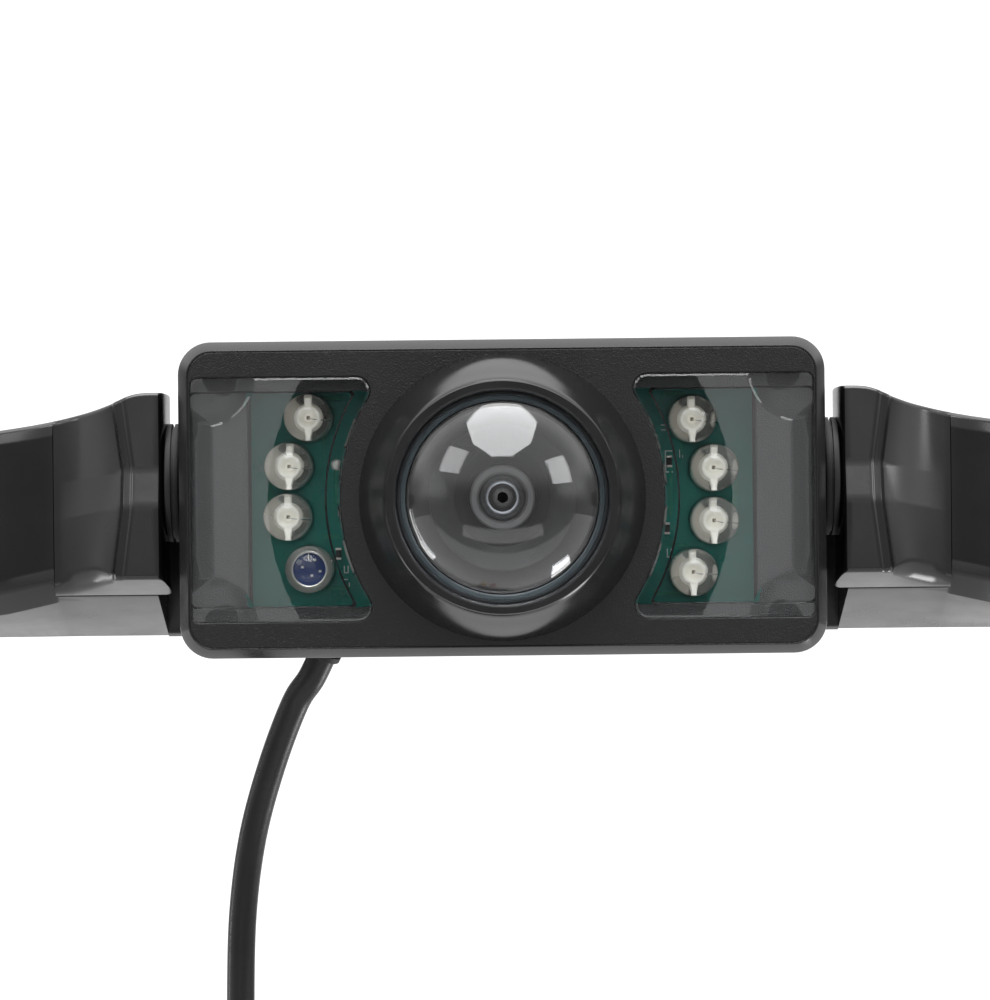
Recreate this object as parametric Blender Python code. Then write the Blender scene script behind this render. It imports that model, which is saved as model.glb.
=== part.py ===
"""Backup camera on a number-plate bar: a tilting camera head held between two ears of a long bar.
Metres. X along the bar, the lens faces -Y, Z up. Y = 0 is the back of the bar, which rests on the plate."""

import math

import bmesh
import bpy
from mathutils import Vector

MM = 0.001
GAP = 0.3

# Driving dimensions, in millimetres.
HEAD_W = 66.6
HEAD_H = 32.6
HEAD_R = 3.4
FACE_Y = -31.0
SPLIT_Y = -25.6
REAR_Y = -14.5
WALL = 1.8
FRONT_WALL = 3.2
RIM = 1.6
RIM_DEPTH = 3.6
POST_X = 29.3
POST_Z = 12.6
POST_R = 2.5
SCREW_HOLE_R = 1.3
BOARD_POST_X = 13.0
BOARD_POST_Z = 11.0
BOSS_R = 14.8
BOSS_TOP_R = 12.2
BOSS_TOP_Y = -39.0
DOME_R = 10.8
DOME_SPHERE_R = 11.6
DOME_T = 1.3
WINDOW_T = 1.6
WINDOW_H = 24.4
WINDOW_ARC_R = 19.7
WINDOW_ARC_SHIFT = 3.0
PIVOT_Y = -18.8
PIVOT_Z = 1.9
EAR_IN = 35.4
EAR_OUT = 39.4
RAMP_END = 46.9
EAR_FRONT_Y = -24.8
EAR_DROP = 6.2
BLOCK_IN = 36.4
SEAM_Y = -16.6
BAR_BOTTOM = -14.7
BAR_TOP = 7.9
UNDER_SLOPE = 0.285
ARM_DEPTH = 5.6
ROOT_DEPTH = 18.6
COVER_SCREW_X = 42.0
COVER_SCREW_LEVELS = (("upper", 4.4), ("lower", -5.2))
BOLT_HOLE_R = 1.8
STRIP_T = 2.6
STRIP_TOP = 8.0
SLOT_X = 88.9
SLOT_LENGTH = 20.0
SLOT_WIDTH = 6.6
LED_SPOTS = (
    (-19.8, 7.8),
    (-22.0, 2.75),
    (-22.0, -2.75),
    (19.8, 7.8),
    (22.0, 2.75),
    (22.0, -2.75),
    (19.8, -7.8),
)
SENSOR_SPOT = (-19.8, -7.8)
FORWARD = (0, -1, 0)
ORIGIN = (0, 0, 0)
LEAD_R = 1.5
TAIL_R = 1.1
LEAD_Y = -7.0
COIL_R = 18.0
COIL_BUNDLE_R = 4.8
COIL_X = -10.5
COIL_Z = -90.0

for old in list(bpy.data.objects):
    bpy.data.objects.remove(old, do_unlink=True)


def material(name, colour, roughness=0.5, metallic=0.0, clear=0.0):
    made = bpy.data.materials.new(name)
    made.use_nodes = True
    shader = made.node_tree.nodes["Principled BSDF"]
    shader.inputs["Base Color"].default_value = (*colour, 1.0)
    shader.inputs["Roughness"].default_value = roughness
    shader.inputs["Metallic"].default_value = metallic
    shader.inputs["Transmission Weight"].default_value = clear
    return made


BLACK = (0.018, 0.018, 0.02)
LOOKS = {
    "black": (BLACK, 0.35, 0.0, 0.0),
    "matt": ((0.012, 0.012, 0.013), 0.7, 0.0, 0.0),
    "rubber": ((0.01, 0.01, 0.01), 0.85, 0.0, 0.0),
    "clear": ((0.9, 0.95, 0.95), 0.05, 0.0, 1.0),
    "green": ((0.01, 0.1, 0.06), 0.4, 0.0, 0.0),
    "steel": ((0.55, 0.55, 0.55), 0.3, 1.0, 0.0),
    "silver": ((0.8, 0.8, 0.8), 0.2, 1.0, 0.0),
    "pale": ((0.3, 0.29, 0.28), 0.5, 0.0, 0.0),
    "chip": ((0.02, 0.03, 0.05), 0.2, 0.0, 0.0),
    "blue": ((0.01, 0.02, 0.12), 0.4, 0.0, 0.0),
    "yellow": ((0.75, 0.5, 0.02), 0.4, 0.0, 0.0),
    "red": ((0.5, 0.02, 0.02), 0.4, 0.0, 0.0),
}


def finish(bm, name, look):
    bmesh.ops.recalc_face_normals(bm, faces=bm.faces)
    mesh = bpy.data.meshes.new(name)
    bm.to_mesh(mesh)
    bm.free()
    made = bpy.data.objects.new(name, mesh)
    bpy.context.collection.objects.link(made)
    mesh.materials.append(material(name, *LOOKS[look]))
    return made


def rings_solid(name, rings, look, closed=False):
    """A closed body through rings of points that all have the same count."""
    bm = bmesh.new()
    rows = [[bm.verts.new(Vector(p) * MM) for p in ring] for ring in rings]
    count = len(rows[0])
    spans = len(rows) if closed else len(rows) - 1
    for i in range(spans):
        a, b = rows[i], rows[(i + 1) % len(rows)]
        for k in range(count):
            bm.faces.new((a[k], a[(k + 1) % count], b[(k + 1) % count], b[k]))
    if not closed:
        bm.faces.new(rows[0])
        bm.faces.new(list(reversed(rows[-1])))
    return finish(bm, name, look)


def prism(name, outline, y0, y1, look="black"):
    return rings_solid(name, [[(x, y, z) for x, z in outline] for y in (y0, y1)], look)


def box(name, low, high, look="black"):
    corners = ((low[0], low[2]), (high[0], low[2]), (high[0], high[2]), (low[0], high[2]))
    return prism(name, corners, low[1], high[1], look)


def lathe(name, profile, axis, at, look="black", count=32):
    """Turns a closed profile of (radius, along) about an axis through a point.
    A radius of 0 closes on the axis."""
    along = Vector(axis).normalized()
    side = along.orthogonal().normalized()
    other = along.cross(side)
    start = Vector(at)
    bm = bmesh.new()
    rows = []
    for r, a in profile:
        if r < 1e-6:
            rows.append([bm.verts.new((start + along * a) * MM)])
            continue
        ring = []
        for k in range(count):
            t = 2 * math.pi * k / count
            out = side * math.cos(t) + other * math.sin(t)
            ring.append(bm.verts.new((start + along * a + out * r) * MM))
        rows.append(ring)
    solid = len(rows[0]) == 1 and len(rows[-1]) == 1
    spans = len(rows) - 1 if solid else len(rows)
    for i in range(spans):
        a, b = rows[i], rows[(i + 1) % len(rows)]
        for k in range(count):
            m = (k + 1) % count
            if len(a) == 1:
                bm.faces.new((a[0], b[m], b[k]))
            elif len(b) == 1:
                bm.faces.new((a[k], a[m], b[0]))
            else:
                bm.faces.new((a[k], a[m], b[m], b[k]))
    return finish(bm, name, look)


def rod(name, start, end, radius, look="black", count=24):
    span = Vector(end) - Vector(start)
    profile = ((0, 0), (radius, 0), (radius, span.length), (0, span.length))
    return lathe(name, profile, span, start, look, count)


def long_rod(name, x, z, y0, y1, radius, look="black", count=12):
    """A rod that runs front to back."""
    return rod(name, (x, y0, z), (x, y1, z), radius, look, count)


def tube(name, path, radius, look="rubber"):
    """A round cord along a path: a poly curve with a bevel and filled ends."""
    curve = bpy.data.curves.new(name, "CURVE")
    curve.dimensions = "3D"
    curve.bevel_depth = radius * MM
    curve.bevel_resolution = 2
    curve.render_resolution_u = 0
    curve.use_fill_caps = True
    spline = curve.splines.new("POLY")
    spline.points.add(len(path) - 1)
    for point, place in zip(spline.points, path):
        point.co = (*(Vector(place) * MM), 1.0)
    curve.materials.append(material(name, *LOOKS[look]))
    made = bpy.data.objects.new(name, curve)
    bpy.context.collection.objects.link(made)
    return made


def smooth_path(points, steps):
    """A curve through all the points."""
    knots = [Vector(p) for p in points]
    knots = [knots[0] * 2 - knots[1]] + knots + [knots[-1] * 2 - knots[-2]]
    made = []
    for i in range(1, len(knots) - 2):
        a, b, c, d = knots[i - 1 : i + 3]
        for k in range(steps):
            t = k / steps
            second = 2 * a - 5 * b + 4 * c - d
            third = 3 * b - a - 3 * c + d
            made.append(0.5 * (2 * b + (c - a) * t + second * t * t + third * t**3))
    made.append(knots[-2])
    return made


def combine(base, other, how):
    step = base.modifiers.new("cut", "BOOLEAN")
    step.operation = how
    step.solver = "MANIFOLD" if base.name == "rear_housing" else "EXACT"
    step.object = other
    bpy.context.view_layer.update()
    seen = base.evaluated_get(bpy.context.evaluated_depsgraph_get())
    mesh = bpy.data.meshes.new_from_object(seen)
    base.modifiers.clear()
    base.data = mesh
    bpy.data.objects.remove(other, do_unlink=True)
    return base


def cut(base, other):
    return combine(base, other, "DIFFERENCE")


def join(base, other):
    return combine(base, other, "UNION")


def round_rect(width, height, radius, steps=5, x=0.0, z=0.0):
    made = []
    for cx, cz, first in ((1, -1, -90), (1, 1, 0), (-1, 1, 90), (-1, -1, 180)):
        for k in range(steps + 1):
            t = math.radians(first + 90 * k / steps)
            made.append(
                (
                    x + cx * (width / 2 - radius) + radius * math.cos(t),
                    z + cz * (height / 2 - radius) + radius * math.sin(t),
                )
            )
    return made


def window_outline(side, grow, outer):
    """The window seen from the front: a flat outer edge and an inner edge that follows the lens."""
    half = WINDOW_H / 2 + grow
    radius = WINDOW_ARC_R - grow
    reach = half - 1.0
    top = math.asin(reach / radius)
    inner = []
    for k in range(9):
        t = -top + 2 * top * k / 8
        inner.append((WINDOW_ARC_SHIFT - radius * math.cos(t), radius * math.sin(t)))
    corner = inner[-1][0] - 0.6
    made = [(-outer, -half), (corner, -half), *inner, (corner, half), (-outer, half)]
    return [(side * -x, z) for x, z in made]


# ---------------------------------------------------------------- camera head
def shell_ring(y, shrink):
    outline = round_rect(HEAD_W - 2 * shrink, HEAD_H - 2 * shrink, max(HEAD_R - shrink * 0.6, 0.8))
    return [(x, y, z) for x, z in outline]


front_bezel = rings_solid(
    "front_bezel",
    [shell_ring(SPLIT_Y, 0), shell_ring(FACE_Y + RIM_DEPTH, 0), shell_ring(FACE_Y, RIM)],
    "black",
)
cavity = prism(
    "cavity",
    round_rect(HEAD_W - 2 * WALL, HEAD_H - 2 * WALL, 1.0, 2),
    FACE_Y + FRONT_WALL,
    SPLIT_Y + 5,
)
cut(front_bezel, cavity)
boss = lathe(
    "boss",
    ((0, -0.8), (BOSS_R, -0.8), (BOSS_R, 0), (BOSS_TOP_R, FACE_Y - BOSS_TOP_Y), (0, FACE_Y - BOSS_TOP_Y)),
    FORWARD,
    (0, FACE_Y, 0),
    count=48,
)
join(front_bezel, boss)
bore = lathe(
    "bore",
    ((0, -20), (9.8, -20), (9.8, 2.2), (DOME_R + GAP, 2.2), (DOME_R + GAP, 9), (0, 9)),
    FORWARD,
    (0, FACE_Y, 0),
    count=48,
)
cut(front_bezel, bore)
for side in (-1, 1):
    recess = prism("recess", window_outline(side, GAP, HEAD_W / 2 + 2), FACE_Y - 2, FACE_Y + WINDOW_T + GAP)
    cut(front_bezel, recess)
    through = prism("through", window_outline(side, -1.4, 30.4), FACE_Y - 2, FACE_Y + FRONT_WALL + 2)
    cut(front_bezel, through)
for side in (-1, 1):
    for up in (-1, 1):
        x, z = side * POST_X, up * POST_Z
        inside_y = FACE_Y + FRONT_WALL
        join(front_bezel, long_rod("post", x, z, inside_y - 1, SPLIT_Y - 0.07, POST_R, count=16))
        cut(front_bezel, long_rod("hole", x, z, inside_y - 0.4, SPLIT_Y + 2, SCREW_HOLE_R))
    x, z = side * BOARD_POST_X, -side * BOARD_POST_Z
    join(front_bezel, long_rod("post", x, z, FACE_Y + FRONT_WALL - 1, -20.5, 2.2, count=16))
    cut(front_bezel, long_rod("hole", x, z, -26, -19, 1.2))

rear_housing = rings_solid(
    "rear_housing",
    [shell_ring(SPLIT_Y + 1.2, 0), shell_ring(REAR_Y - 1.2, 0), shell_ring(REAR_Y, 1.0)],
    "black",
)
cut(
    rear_housing,
    prism("cavity", round_rect(HEAD_W - 2 * WALL, HEAD_H - 2 * WALL, 1.0, 2), SPLIT_Y - 5, REAR_Y - 2.0),
)
for side in (-1, 1):
    block = box(
        "block",
        (min(side * 28.4, side * 32), SPLIT_Y + 1.4, PIVOT_Z - 3.4),
        (max(side * 28.4, side * 32), REAR_Y - 1.0, PIVOT_Z + 3.4),
    )
    join(rear_housing, block)
    ends = [(side * x, PIVOT_Y, PIVOT_Z) for x in (29, 40)]
    cut(rear_housing, rod("bolt_hole", *ends, BOLT_HOLE_R, count=20))
    for up in (-1, 1):
        x, z = side * POST_X, up * POST_Z
        join(rear_housing, long_rod("post", x, z, SPLIT_Y + 1.27, REAR_Y - 1.1, POST_R, count=16))
        cut(rear_housing, long_rod("hole", x, z, SPLIT_Y - 2, REAR_Y + 2, SCREW_HOLE_R))
        cut(rear_housing, long_rod("sink", x, z, REAR_Y - 1.5, REAR_Y + 2, 2.3, count=16))

seal = prism(
    "housing_seal",
    round_rect(HEAD_W - 0.8, HEAD_H - 0.8, HEAD_R - 0.4),
    SPLIT_Y + GAP,
    SPLIT_Y + 1.2 - GAP,
    "rubber",
)
inside_outline = round_rect(HEAD_W - 2 * WALL, HEAD_H - 2 * WALL, 1.0, 2)
cut(seal, prism("inside", inside_outline, SPLIT_Y - 2, SPLIT_Y + 3))
for side in (-1, 1):
    for up in (-1, 1):
        x, z = side * POST_X, up * POST_Z
        join(seal, long_rod("post", x, z, SPLIT_Y + 0.34, SPLIT_Y + 0.86, POST_R - 0.1, count=16))
        cut(seal, long_rod("hole", x, z, SPLIT_Y - 2, SPLIT_Y + 3, SCREW_HOLE_R))

for label, side in (("left", -1), ("right", 1)):
    outline = window_outline(side, 0, HEAD_W / 2 - RIM)
    pane = prism(f"window_{label}", outline, FACE_Y, FACE_Y + WINDOW_T, "clear")
    lip = [
        (HEAD_W / 2 - RIM - 0.4, FACE_Y + 0.2),
        (HEAD_W / 2 - 0.7, FACE_Y + WINDOW_T - GAP),
        (HEAD_W / 2 - 0.7, FACE_Y + WINDOW_T),
        (HEAD_W / 2 - RIM - 0.4, FACE_Y + WINDOW_T),
    ]
    ends = [[(side * x, y, z) for x, y in lip] for z in (-WINDOW_H / 2, WINDOW_H / 2)]
    join(pane, rings_solid("lip", ends, "clear"))

seat = FACE_Y - 4.7
lathe(
    "dome_seal",
    ((9.9, 0.3), (10.7, 0.3), (10.7, 1.2), (9.9, 1.2)),
    FORWARD,
    (0, seat, 0),
    "rubber",
    48,
)
dome_base = FACE_Y - 6.2
dome_edge = BOSS_TOP_Y + 0.5
sphere_y = dome_edge + math.sqrt(DOME_SPHERE_R**2 - DOME_R**2)
outer_turn = math.asin(DOME_R / DOME_SPHERE_R)
inner_r = DOME_SPHERE_R - DOME_T
inner_turn = math.asin((DOME_R - DOME_T) / inner_r)
profile = [(DOME_R, -dome_base)]
for k in range(9):
    t = outer_turn * (1 - k / 8)
    profile.append((DOME_SPHERE_R * math.sin(t), -sphere_y + DOME_SPHERE_R * math.cos(t)))
profile = [(0, -dome_base), *profile[:-1], (0, -sphere_y + DOME_SPHERE_R)]
outside = lathe("lens_dome", profile, FORWARD, ORIGIN, "clear", 48)
inside = [(0, -dome_base - 4), (DOME_R - DOME_T, -dome_base - 4)]
for k in range(9):
    t = inner_turn * (1 - k / 8)
    inside.append((inner_r * math.sin(t), -sphere_y + inner_r * math.cos(t)))
inside[-1] = (0, -sphere_y + inner_r)
cut(outside, lathe("hollow", inside, FORWARD, ORIGIN, "clear", 48))

funnel = (
    (9.0, 36.6),
    (9.5, 36.6),
    (9.5, 30.6),
    (8.6, 29.0),
    (8.6, 27.2),
    (4.8, 25.8),
    (4.8, 25.0),
    (3.8, 25.0),
    (3.8, 26.4),
    (5.0, 27.2),
    (5.0, 28.2),
    (7.6, 29.2),
    (7.6, 30.6),
)
lathe("lens_shroud", funnel, FORWARD, ORIGIN, "matt", 28)
barrel = ((2.5, 27.4), (3.4, 27.4), (3.4, 19.6), (1.5, 19.6), (1.5, 25.2), (2.5, 25.2))
lathe("lens_barrel", barrel, FORWARD, ORIGIN, "matt", 32)
trim = ((2.5, 27.7), (3.4, 27.7), (3.4, 28.2), (2.5, 28.2))
lathe("lens_trim_ring", trim, FORWARD, ORIGIN, "pale", 32)
retainer = ((1.7, 25.5), (2.2, 25.5), (2.2, 26.9), (1.8, 26.9), (1.4, 26.5), (1.4, 26.2), (1.7, 26.2))
lathe("retaining_ring", retainer, FORWARD, ORIGIN, "silver", 32)
element = ((0, 25.5), (1.35, 25.5), (1.35, 25.9), (0.9, 26.3), (0, 26.45))
lathe("front_element", element, FORWARD, ORIGIN, "chip", 24)
holder = prism("lens_holder", round_rect(12, 12, 1.0, 2), -18.0, -19.2, "matt")
neck = ((0, 18.6), (5.4, 18.6), (5.4, 23.6), (0, 23.6))
join(holder, lathe("neck", neck, FORWARD, ORIGIN, "matt", 32))
neck_bore = ((0, 10), (3.7, 10), (3.7, 30), (0, 30))
cut(holder, lathe("neck_bore", neck_bore, FORWARD, ORIGIN, "matt", 24))
cut(holder, box("well", (-4.6, -19.0, -4.6), (4.6, -17.0, 4.6)))
box("image_sensor", (-4.0, -18.7, -4.0), (4.0, -18.0, 4.0), "chip")
prism("sensor_board", round_rect(21, 20, 1.0, 2), -17.7, -16.9, "green")

board = prism("led_board", round_rect(51, 24.6, 1.0, 2), -20.2, -19.1, "green")
cut(board, rod("centre", (0, -22, 0), (0, -18, 0), 9.4, count=32))
for side in (-1, 1):
    x, z = side * BOARD_POST_X, -side * BOARD_POST_Z
    cut(board, long_rod("hole", x, z, -22, -18, 1.0))
    screw = ((0, -1.2), (1.9, -1.2), (1.9, 0), (0.7, 0), (0.7, 5.6), (0, 5.6))
    lathe(f"board_screw_{'left' if side < 0 else 'right'}", screw, FORWARD, (x, -18.8, z), "steel", 16)

LED_SEAT = -20.5
LED_PROFILE = ((0, 0), (2.6, 0), (2.6, 1.0), (2.4, 1.0), (2.4, 5.6), (2.1, 6.9), (1.4, 7.8), (0, 8.2))
for number, (x, z) in enumerate(LED_SPOTS, 1):
    lathe(f"ir_led_{number}", LED_PROFILE, FORWARD, (x, LED_SEAT, z), "clear", 14)
lathe("light_sensor", LED_PROFILE, FORWARD, (SENSOR_SPOT[0], LED_SEAT, SENSOR_SPOT[1]), "blue", 14)

number = 0
for side in (-1, 1):
    for up in (-1, 1):
        number += 1
        screw = ((0, -1.2), (2.0, -1.2), (2.0, 0), (1.0, 0), (1.0, 11.5), (0, 11.5))
        spot = (side * POST_X, REAR_Y - 1.2, up * POST_Z)
        lathe(f"housing_screw_{number}", screw, FORWARD, spot, "steel", 16)

for label, side in (("left", -1), ("right", 1)):
    bolt = ((0, 29.3), (1.3, 29.3), (1.3, 37.7), (1.9, 37.7), (1.9, 39.6), (0, 39.6))
    lathe(f"pivot_bolt_{label}", bolt, (side, 0, 0), (0, PIVOT_Y, PIVOT_Z), "steel", 20)
    washer = ((1.8, 33.6), (6.2, 33.6), (6.2, 35.1), (1.8, 35.1))
    lathe(f"friction_washer_{label}", washer, (side, 0, 0), (0, PIVOT_Y, PIVOT_Z), "matt", 32)

# The gland's end lies on a line through the pivot, so that tilting turns the lead and doesn't drag it.
GLAND_TURN = math.radians(16)
GLAND_REACH = 19.2
GLAND_X = -19.3
LEAD_SIDE = 0.423
LEAD_DOWN = 0.906
LEAD_DIR = Vector((-LEAD_SIDE, LEAD_DOWN * math.sin(GLAND_TURN), -LEAD_DOWN * math.cos(GLAND_TURN)))
gland_y = PIVOT_Y + GLAND_REACH * math.sin(GLAND_TURN)
gland_z = PIVOT_Z - GLAND_REACH * math.cos(GLAND_TURN)
GLAND_END = Vector((GLAND_X, gland_y, gland_z))
gland = rod("cable_gland", GLAND_END - LEAD_DIR * 9.0, GLAND_END, 2.0, "rubber", 16)
gland_foot = GLAND_END - LEAD_DIR * 5.6
join(gland, long_rod("foot", gland_foot.x, gland_foot.z, -15.5, -13.0, 3.8, "rubber", 20))
cut(gland, box("wall_side", (-40, -30, -40), (20, REAR_Y + GAP, 20)))


# ---------------------------------------------------------------- bar
TOP_LINE = (
    (0.0, 11.1),
    (37.4, 11.1),
    (38.4, 10.85),
    (39.4, 10.35),
    (40.4, 9.93),
    (42.9, 9.27),
    (46.2, 8.45),
    (49.5, 7.86),
    (52.3, 7.47),
    (58.0, 7.0),
    (70.0, 6.6),
    (200.0, 6.5),
)


def bar_top(x):
    """Height of the top edge: level on the ear, then falling away along the arm."""
    for (x1, z1), (x2, z2) in zip(TOP_LINE, TOP_LINE[1:]):
        if abs(x) <= x2:
            return z1 + (z2 - z1) * (abs(x) - x1) / (x2 - x1)
    return TOP_LINE[-1][1]


def bar_depth(x):
    """How far the arm's face stands in front of the plate: it falls away from the ears in a long curve."""
    t = max(0.0, min(1.0, (abs(x) - 47.0) / 29.0))
    ease = t * t * (3 - 2 * t)
    return ROOT_DEPTH * (1 - ease) + ARM_DEPTH * ease


def arm_section(x):
    depth = bar_depth(x)
    top = bar_top(x)
    slope = UNDER_SLOPE * min(1.0, 10.0 / depth + 0.35)
    bevel = min(3.4, depth * 0.45)
    low = BAR_BOTTOM + slope * (depth - bevel)
    return [
        (x, 0, BAR_BOTTOM),
        (x, -(depth - bevel), low),
        (x, -(depth - bevel * 0.35), low + 1.2),
        (x, -depth, low + 2.8),
        (x, -depth, top - 1.8),
        (x, -(depth - 0.6), top - 0.6),
        (x, -(depth - 2.0), top - 0.1),
        (x, 0, top),
    ]


def block_section(x):
    low = BAR_BOTTOM - UNDER_SLOPE * SEAM_Y
    top = bar_top(x)
    return [
        (x, 0, BAR_BOTTOM),
        (x, SEAM_Y + 2, BAR_BOTTOM - UNDER_SLOPE * (SEAM_Y + 2)),
        (x, SEAM_Y + 1, BAR_BOTTOM - UNDER_SLOPE * (SEAM_Y + 1)),
        (x, SEAM_Y, low),
        (x, SEAM_Y, top - 0.6),
        (x, SEAM_Y + 0.3, top - 0.3),
        (x, SEAM_Y + 0.6, top),
        (x, 0, top),
    ]


def strip_section(x):
    return [
        (x, 0, BAR_BOTTOM),
        (x, -1.4, BAR_BOTTOM),
        (x, -STRIP_T, BAR_BOTTOM + 0.4),
        (x, -STRIP_T, BAR_BOTTOM + 2),
        (x, -STRIP_T, STRIP_TOP - 2),
        (x, -STRIP_T, STRIP_TOP - 0.4),
        (x, -1.4, STRIP_TOP),
        (x, 0, STRIP_TOP),
    ]


stations = [168.0, 166.5, 120, 76, 74, 71, 68, 65, 62, 59, 56, 53, 50, RAMP_END + GAP]
half = []
for x in stations:
    ring = arm_section(x)
    if x > 167:
        ring = [(x, y * 0.8, z * 0.86 - 0.4) for _, y, z in ring]
    half.append(ring)
half += [block_section(x) for x in (RAMP_END, 44.0, 41.0, 38.0, BLOCK_IN)]
half += [strip_section(x) for x in (BLOCK_IN - 0.1, 12.0)]
mirrored = [[(-x, y, z) for x, y, z in ring] for ring in reversed(half)]
bar = rings_solid("bar", half + mirrored, "black")


def pocket_section(x):
    depth = bar_depth(x) - 2.2 if x > RAMP_END else -SEAM_Y - 2.2
    top = bar_top(x) - 2.0
    low = BAR_BOTTOM + 2.2
    return [(x, 2, low), (x, -depth, low + UNDER_SLOPE * depth), (x, -depth, top - 0.8), (x, 2, top)]


POCKET_STATIONS = (37.6, 46.0, 50, 53, 56, 59, 62, 65, 68)
for side in (-1, 1):
    rings = [[(side * x, y, z) for x, y, z in pocket_section(x)] for x in POCKET_STATIONS]
    cut(bar, rings_solid("pocket", rings, "black"))
    slot = round_rect(SLOT_LENGTH, SLOT_WIDTH, SLOT_WIDTH / 2, 4, side * SLOT_X, -3.4)
    cut(bar, prism("slot", slot, -30, 5))
    for _, z in COVER_SCREW_LEVELS:
        cut(bar, long_rod("hole", side * COVER_SCREW_X, z, -25, -10, SCREW_HOLE_R))


def ramp_front(x):
    """The cover's face falls from the ear to the arm in a hollow curve."""
    if x <= EAR_OUT:
        return EAR_FRONT_Y
    t = (x - EAR_OUT) / (RAMP_END - EAR_OUT)
    return EAR_FRONT_Y + EAR_DROP * (1 - (1 - t) ** 1.25)


def cover_section(x):
    front = ramp_front(x)
    top = bar_top(x)
    low = BAR_BOTTOM - UNDER_SLOPE * (SEAM_Y - GAP)
    bottom_y = front + 0.7
    foot = BAR_BOTTOM - UNDER_SLOPE * bottom_y
    ring = [(x, SEAM_Y - GAP, low), (x, bottom_y, foot)]
    for k in range(1, 8):
        z = foot + (top - foot) * k / 8
        step = max(0.0, min(1.0, (z + 0.6) / 4.8))
        ring.append((x, front + 0.9 * step, z))
    ring.append((x, front + 1.9, top))
    ring.append((x, SEAM_Y - GAP, top))
    return ring


for label, side in (("left", -1), ("right", 1)):
    along = (EAR_IN, 37.4, EAR_OUT, 39.9, 40.5, 41.3, 42.3, 43.6, 45.1, RAMP_END)
    rings = [[(side * x, y, z) for x, y, z in cover_section(x)] for x in along]
    cover = rings_solid(f"ear_cover_{label}", rings, "black")
    near, far = sorted((side * 37.4, side * 39.9))
    cut(cover, box("well", (near, -21.6, -2.4), (far, -10, 6.2)))
    ends = [(side * x, PIVOT_Y, PIVOT_Z) for x in (30, 38.5)]
    cut(cover, rod("bolt_hole", *ends, BOLT_HOLE_R, count=20))
    for level, z in COVER_SCREW_LEVELS:
        cut(cover, long_rod("hole", side * COVER_SCREW_X, z, -19.7, -10, SCREW_HOLE_R))
        screw = ((0, -1.3), (2.0, -1.3), (2.0, 0), (1.0, 0), (1.0, 5.2), (0, 5.2))
        spot = (side * COVER_SCREW_X, SEAM_Y + 2.5, z)
        lathe(f"cover_screw_{label}_{level}", screw, FORWARD, spot, "steel", 16)

# ---------------------------------------------------------------- lead, tied coil and tails
start = GLAND_END + LEAD_DIR * 0.36
below = [
    start,
    start + LEAD_DIR * 2.4,
    (-22.3, -11.4, -21.7),
    (-24.9, -9.6, -28.3),
    (-27.1, -8.0, -36.0),
    (-28.3, LEAD_Y, -44.5),
    (-28.6, LEAD_Y, -54.5),
    (-28.5, LEAD_Y, -66.0),
    (-28.5, LEAD_Y, -76.0),
]
path = smooth_path(below, 3)
while path[-1].z < COIL_Z + 16.3:
    path.pop()
tube("lead", path, LEAD_R)
bundle = []
for k in range(12):
    t = 2 * math.pi * k / 12
    bundle.append((COIL_R + COIL_BUNDLE_R * math.cos(t), COIL_BUNDLE_R * math.sin(t)))
lathe("lead_coil", bundle, (0, 1, 0), (COIL_X, LEAD_Y, COIL_Z), "rubber", 40)

tie_turn = math.radians(62)
tie_at = Vector((COIL_X + COIL_R * math.cos(tie_turn), LEAD_Y, COIL_Z + COIL_R * math.sin(tie_turn)))
tie_axis = Vector((-math.sin(tie_turn), 0, math.cos(tie_turn)))
band = COIL_BUNDLE_R + 0.4
lathe(
    "coil_tie",
    ((band, -1.3), (band + 1.2, -1.3), (band + 1.2, 1.3), (band, 1.3)),
    tie_axis,
    tie_at,
    "matt",
    24,
)

tail_x = COIL_X - COIL_R
tube("lead_end", [(tail_x, LEAD_Y, COIL_Z - k) for k in (16.3, 18.0, 19.3)], LEAD_R)
split = prism("y_splitter", round_rect(9.0, 15.0, 2.0, 3, tail_x, COIL_Z - 27.1), -9.6, -4.4, "rubber")
VIDEO_PLUG = (
    (0, 0),
    (2.0, 0),
    (2.4, 8),
    (4.4, 10),
    (4.8, 22),
    (4.2, 22.4),
    (4.2, 29),
    (1.6, 29),
    (1.6, 37),
    (0, 37.6),
)
POWER_JACK = (
    (0, 0),
    (2.0, 0),
    (2.3, 7),
    (4.9, 9),
    (4.9, 30),
    (3.2, 30),
    (3.2, 22),
    (1.0, 22),
    (1.0, 28),
    (0, 28.4),
)
TAILS = (
    ("video_tail", "video_plug", VIDEO_PLUG, -1, "yellow"),
    ("power_tail", "power_jack", POWER_JACK, 1, "red"),
)
for tail_name, end_name, shape, side, look in TAILS:
    legs = [
        (tail_x + side * 2.3, LEAD_Y, COIL_Z - 35.0),
        (tail_x + side * 2.8, LEAD_Y, COIL_Z - 40.0),
        (tail_x + side * 5.0, LEAD_Y, COIL_Z - 46.0),
        (tail_x + side * 8.0, LEAD_Y, COIL_Z - 52.0),
        (tail_x + side * 9.4, LEAD_Y, COIL_Z - 59.0),
    ]
    tube(tail_name, smooth_path(legs, 3), TAIL_R)
    end = Vector((tail_x + side * 9.4, LEAD_Y, COIL_Z - 59.4))
    lathe(end_name, shape, (0, 0, -1), end, look, 24)

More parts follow.
